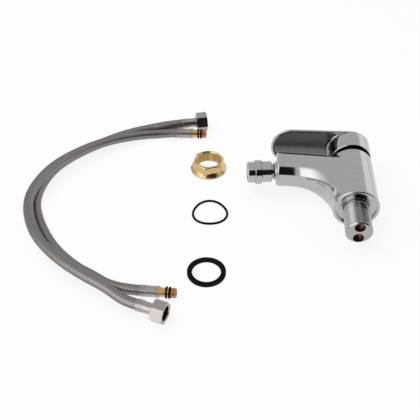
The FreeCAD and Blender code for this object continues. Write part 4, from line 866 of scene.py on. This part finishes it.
# Up the outside: the flange and its cone, the flats, the chamfer and the top, with a bevel at each edge.
outside = [(radius + 0 * turns, height + 0 * turns) for radius, height in FLANGE_PROFILE]
outside += [(across + BEVEL, cone - BEVEL), (across, cone + BEVEL),
            (across, chamfer - BEVEL), (across - BEVEL, chamfer + BEVEL * CHAMFER_FALL),
            (CHAMFER_RADIUS + BEVEL + 0 * turns, BACKNUT_HEIGHT - BEVEL * CHAMFER_FALL + 0 * turns),
            (CHAMFER_RADIUS - BEVEL + 0 * turns, BACKNUT_HEIGHT + 0 * turns)]
radii, heights = np.array(outside).transpose(1, 0, 2)
outside = np.stack([radii * np.cos(turns), radii * np.sin(turns), heights], axis=-1)
bore, lead, pitch, depth = BACKNUT_BORE
thread = (lead, BACKNUT_HEIGHT - lead, pitch, depth)
bore_profile = ((bore + lead, BACKNUT_HEIGHT), (bore, BACKNUT_HEIGHT - lead), (bore, lead),
                (bore + lead, 0.0))
inside = turned(bore_profile, turns, thread)
nut_grid = np.concatenate([outside, inside, outside[:1]]) + BACKNUT_AT
backnut = surface("flanged_backnut", [(nut_grid * MM, None, 0)], [brass], sharp=30.0)
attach(backnut, "mixer")
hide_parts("backnut")


# The base's O-ring: a thin rubber cord that goes into the groove under the base. It lies flat on the floor,
# and has kept the uneven shape of its packing.
RING_AT = (-153.1, 13.3)
RING_RADIUS = 18.3
RING_CORD = 1.3
RING_UNEVEN = 0.75
RING_LOBE = math.radians(96.0)
RING_ROWS = 180
RING_COLUMNS = 20
turns = circle_turns(RING_ROWS)[:, None]
around = circle_turns(RING_COLUMNS)[None, :]
# The mean radius is R + u cos 3(t - lobe), which makes three soft corners.
radius = RING_RADIUS + RING_UNEVEN * np.cos(3 * (turns - RING_LOBE)) + RING_CORD * np.cos(around)
ring_grid = np.stack([RING_AT[0] + radius * np.cos(turns), RING_AT[1] + radius * np.sin(turns),
                      FLOOR + RING_CORD * (1 + np.sin(around)) + 0 * turns], axis=-1)
o_ring = surface("loose_o_ring", [(np.concatenate([ring_grid, ring_grid[:1]]) * MM, None, 0)], [rubber])
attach(o_ring, "mixer")
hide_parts("base_o_ring")


# The gasket: a thick flat ring of rubber, punched from sheet. The backnut presses it against the underside of
# the ceramic.
dress(rubber, "base_gasket")


# The two supply hoses: rubber tubes under a stainless braid, one lying on the other. Each follows a smooth
# line with its fittings drawn at its ends; the braid's strands are laid over the tube's surface in a woven
# relief.
HOSE_RADIUS = 5.4
# Heights of the axis along the hose, at its tail and at its nut.
HOSE_LIE = FLOOR + 5.5
TAIL_LIE = FLOOR + 6.1
NUT_LIE = FLOOR + 10.1
# The mesh's step along the hose, its columns, and the least distance in metres between points of its line
# that are kept.
HOSE_STEP = 0.45
HOSE_COLUMNS = 80
SAME_POINT = 1e-9
# The braid: strands each way, the length of one turn, its depth, and how flat a strand's crown is.
CARRIERS = 12
LAY = 34.0
BRAID_RELIEF = 0.22
CROWN_POWER = 0.7
# Each hose's name and length, the place, heading and straight run at its tail and at its nut, and its corners
# with their rise above the floor, all in millimetres and degrees.
HOSES = (
    ("inner_hose", 421.6, (-213.6, -107.1, -3.1, 14.4), (-194.6, 162.6, 12.5, 16.6),
     ((-247.4, -100.7, 0), (-264.7, -88.8, 0), (-283.1, -78.5, 0), (-311.4, -51.6, 0),
      (-335.0, -11.4, 0), (-345.6, 23.3, 0), (-338.2, 69.0, 0), (-315.5, 102.0, 0),
      (-278.7, 132.3, 0), (-257.2, 146.5, 0), (-234.7, 156.2, 0))),
    ("outer_hose", 422.4, (-199.3, 148.6, 0.3, 9.1), (-214.4, -128.6, -19.3, 9.7),
     ((-220.7, 146.7, 0), (-242.5, 140.3, 2.4), (-276.8, 122.5, 6.7), (-306.1, 97.6, 9.6),
      (-333.6, 64.1, 11.5), (-347.3, 24.2, 11.7), (-346.0, -7.0, 10.8), (-331.1, -43.4, 9.7),
      (-303.9, -73.6, 8.9), (-272.1, -96.9, 8.9), (-247.5, -110.3, 8.1), (-232.5, -120.8, 5.4))),
)


def route_points(tail, nut, corners):
    """The hose's control points in metres, from its tail end to its nut end."""
    ends = []
    for (x, y, angle, run), height in ((tail, TAIL_LIE), (nut, NUT_LIE)):
        turn = math.radians(angle)
        ends.append([(x, y, height), (x - math.cos(turn) * run, y - math.sin(turn) * run, height)])
    middle = [(x, y, HOSE_LIE + rise) for x, y, rise in corners]
    return (np.array(ends[0] + middle + ends[1][::-1]) * MM).tolist()


def centre_line(name, points):
    """Points along the smooth line of a hose, read from its NURBS spline."""
    curve = bpy.data.curves.new(name, "CURVE")
    curve.dimensions = "3D"
    spline = curve.splines.new("NURBS")
    spline.points.add(len(points) - 1)
    for control, point in zip(spline.points, points):
        control.co = (*point, 1.0)
    spline.order_u = 3
    spline.use_endpoint_u = True
    spline.resolution_u = 32
    carrier = bpy.data.objects.new(name, curve)
    scene.collection.objects.link(carrier)
    bpy.context.view_layer.update()
    mesh = bpy.data.meshes.new_from_object(carrier.evaluated_get(bpy.context.evaluated_depsgraph_get()))
    line = np.zeros(len(mesh.vertices) * 3)
    mesh.vertices.foreach_get("co", line)
    bpy.data.objects.remove(carrier)
    bpy.data.meshes.remove(mesh)
    return line.reshape(-1, 3)


def steady_rows(line, step):
    """The line again at even steps, with two directions square to it at each point."""
    lengths = np.concatenate([[0.0], np.cumsum(np.linalg.norm(np.diff(line, axis=0), axis=1))])
    keep = np.concatenate([[True], np.diff(lengths) > SAME_POINT])
    line, lengths = line[keep], lengths[keep]
    along = np.linspace(0.0, lengths[-1], int(round(lengths[-1] / step)) + 1)
    rows = np.stack([np.interp(along, lengths, line[:, axis]) for axis in range(3)], axis=1)
    ahead = np.gradient(rows, axis=0)
    ahead /= np.linalg.norm(ahead, axis=1)[:, None]
    side = np.cross(ahead, (0.0, 0.0, 1.0))
    side /= np.linalg.norm(side, axis=1)[:, None]
    return along, rows, side, np.cross(side, ahead)


def woven(turn, along):
    """Height of the braid, 0 to 1, from two families of strands on crossing helices, over two and under two.

    Across a strand, its height is |sin| to the power CROWN_POWER. Along it, that is multiplied by
    1/2 + 1/2 sin of a quarter turn for each strand that it crosses. The higher of the two strands shows.
    """
    one = CARRIERS * (turn / (2 * np.pi) + along / LAY)
    other = CARRIERS * (turn / (2 * np.pi) - along / LAY)
    crown_one = np.abs(np.sin(np.pi * one)) ** CROWN_POWER
    crown_other = np.abs(np.sin(np.pi * other)) ** CROWN_POWER
    lift = np.sin(np.pi / 2 * (np.floor(one) + other))
    sink = -np.sin(np.pi / 2 * (one + np.floor(other)))
    return np.maximum(crown_one * (0.5 + 0.5 * lift), crown_other * (0.5 + 0.5 * sink))


braid = finish("steel_braid", (0.40, 0.375, 0.365), roughness=0.36, spread=0.06, scale=1500.0)
# Painted shade: the gaps between the strands, and the strands that turn away from the eye, are darkened in
# the colour.
PAINTED_GAP_SHADE = 0.22
PAINTED_EDGE_SHADE = 0.45
add, link = node_tools(braid.node_tree)
strands = add("ShaderNodeAttribute", attribute_name="relief")
facing = add("ShaderNodeLayerWeight")
shades = ((strands.outputs["Fac"], PAINTED_GAP_SHADE, 1.0), (facing.outputs["Facing"], 1.0, PAINTED_EDGE_SHADE))
# Each pass multiplies the braid's colour with painted shade.
for mask, first, last in shades:
    darken(braid, soft_step(add, link, mask, 0.0, 1.0, first, last))
crimped = finish("crimped_steel", (0.42, 0.38, 0.385), roughness=0.24, spread=0.03, scale=500.0)
nickel = finish("satin_nickel", (0.40, 0.37, 0.36), roughness=0.20, spread=0.04, scale=500.0)
neck_brass = finish("neck_brass", (0.62, 0.42, 0.17), roughness=0.22, spread=0.04, scale=500.0)
tip_copper = finish("tip_copper", (0.50, 0.26, 0.13), roughness=0.24, spread=0.04, scale=500.0)
# Profiles of the fittings: radius, and distance from the hose's end face, both in millimetres.
FERRULE_PROFILE = ((3.4, 0.0), (5.7, 0.0), (6.0, 0.3), (6.0, 1.4), (5.5, 1.7), (5.5, 2.6), (6.0, 2.9),
                   (6.0, 3.9), (5.5, 4.2), (5.5, 5.1), (6.0, 5.4), (6.0, 6.4), (5.6, 6.7), (5.5, 15.4),
                   (6.0, 15.8), (6.0, 16.7), (5.7, 17.0), (3.4, 17.0), (3.4, 0.0))
TAIL_NECK = ((2.4, 3.0), (3.3, 3.0), (3.3, 17.02), (5.7, 17.02), (5.9, 17.2), (5.9, 18.8), (5.7, 19.0),
             (4.6, 19.0), (4.6, 24.0), (3.5, 24.0), (3.5, 26.2), (4.6, 26.2), (4.6, 27.1), (3.5, 27.1),
             (3.5, 29.3))
TAIL_TIP = ((3.5, 29.3), (4.6, 29.3), (5.0, 29.7), (5.0, 33.7), (4.8, 34.4), (4.3, 34.8), (3.7, 34.94),
            (2.4, 34.94), (2.4, 3.0))
TAIL_THREAD = (29.7, 33.7, 1.0, 0.35)
# The tail's O-rings: distances from the end face, mean radius, and the cord's half height and half width.
TAIL_RINGS = (25.1, 28.2)
TAIL_RING_RADIUS = 4.78
TAIL_RING_CORD = (1.28, 1.06)
RING_STEPS = 13
FITTING_COLUMNS = 72


def fitted(grid, place, height):
    """A grid turned about Z, laid with its axis along a hose end's heading."""
    x, y, heading, _ = place
    turn = math.radians(heading)
    ahead = np.array([math.cos(turn), math.sin(turn), 0.0])
    side = np.array([-math.sin(turn), math.cos(turn), 0.0])
    above = np.array([0.0, 0.0, 1.0])
    from_end = grid[..., :1] * side + grid[..., 1:2] * above + grid[..., 2:] * ahead
    return (np.array([x, y, height]) + from_end) * MM


def fitting(name, parts, materials):
    """A hose fitting in place of the CAD piece of the same name."""
    made = surface(name + "_shown", parts, materials, sharp=30.0)
    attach(made, "mixer")
    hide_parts(name)
    return made


fitting_turns = circle_turns(FITTING_COLUMNS)
cord_turns = np.linspace(0.0, 2 * np.pi, RING_STEPS)
cord_rise, cord_shift = TAIL_RING_CORD[0] * np.cos(cord_turns), TAIL_RING_CORD[1] * np.sin(cord_turns)
for label, length, tail, nut, corners in HOSES:
    points = route_points(tail, nut, corners)
    along, rows, side, above = steady_rows(centre_line(label + "_line", points), HOSE_STEP * MM)
    turn = circle_turns(HOSE_COLUMNS)[None, :]
    height = woven(turn, along[:, None] / MM)
    radius = HOSE_RADIUS - BRAID_RELIEF * (1 - height)
    radius = np.concatenate([0 * radius[:1], radius, 0 * radius[:1]])
    height = np.concatenate([height[:1], height, height[-1:]])
    rows, side, above = [np.concatenate([part[:1], part, part[-1:]]) for part in (rows, side, above)]
    ring = side[:, None, :] * np.cos(turn)[..., None] + above[:, None, :] * np.sin(turn)[..., None]
    tube = surface(label + "_braid", [(rows[:, None, :] + ring * radius[..., None] * MM, None, 0)], [braid],
                   sharp=40.0, relief=height)
    together = [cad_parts[f"{label}_{part}"] for part in ("nut_tailpiece", "swivel_nut", "nut_washer")]
    for end, place, lie in (("tail", tail, TAIL_LIE), ("nut", nut, NUT_LIE)):
        sleeve = fitted(turned(FERRULE_PROFILE, fitting_turns), place, lie)
        together.append(fitting(f"{label}_{end}_ferrule", [(sleeve, None, 0)], [crimped]))
    neck = fitted(turned(TAIL_NECK, fitting_turns), tail, TAIL_LIE)
    tip = fitted(turned(TAIL_TIP, fitting_turns, TAIL_THREAD), tail, TAIL_LIE)
    together.append(fitting(label + "_m10_tail", [(neck, None, 0), (tip, None, 1)], [neck_brass, tip_copper]))
    rings = []
    for middle in TAIL_RINGS:
        profile = list(zip(TAIL_RING_RADIUS + cord_rise, middle + cord_shift))
        rings.append((fitted(turned(profile, fitting_turns), tail, TAIL_LIE), None, 0))
    together.append(fitting(label + "_tail_o_rings", rings, [rubber]))
    dress(nickel, label + "_swivel_nut", label + "_nut_tailpiece")
    dress(rubber, label + "_nut_washer")
    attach(tube, "mixer")
    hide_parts(label + "_tube")


bpy.context.view_layer.update()
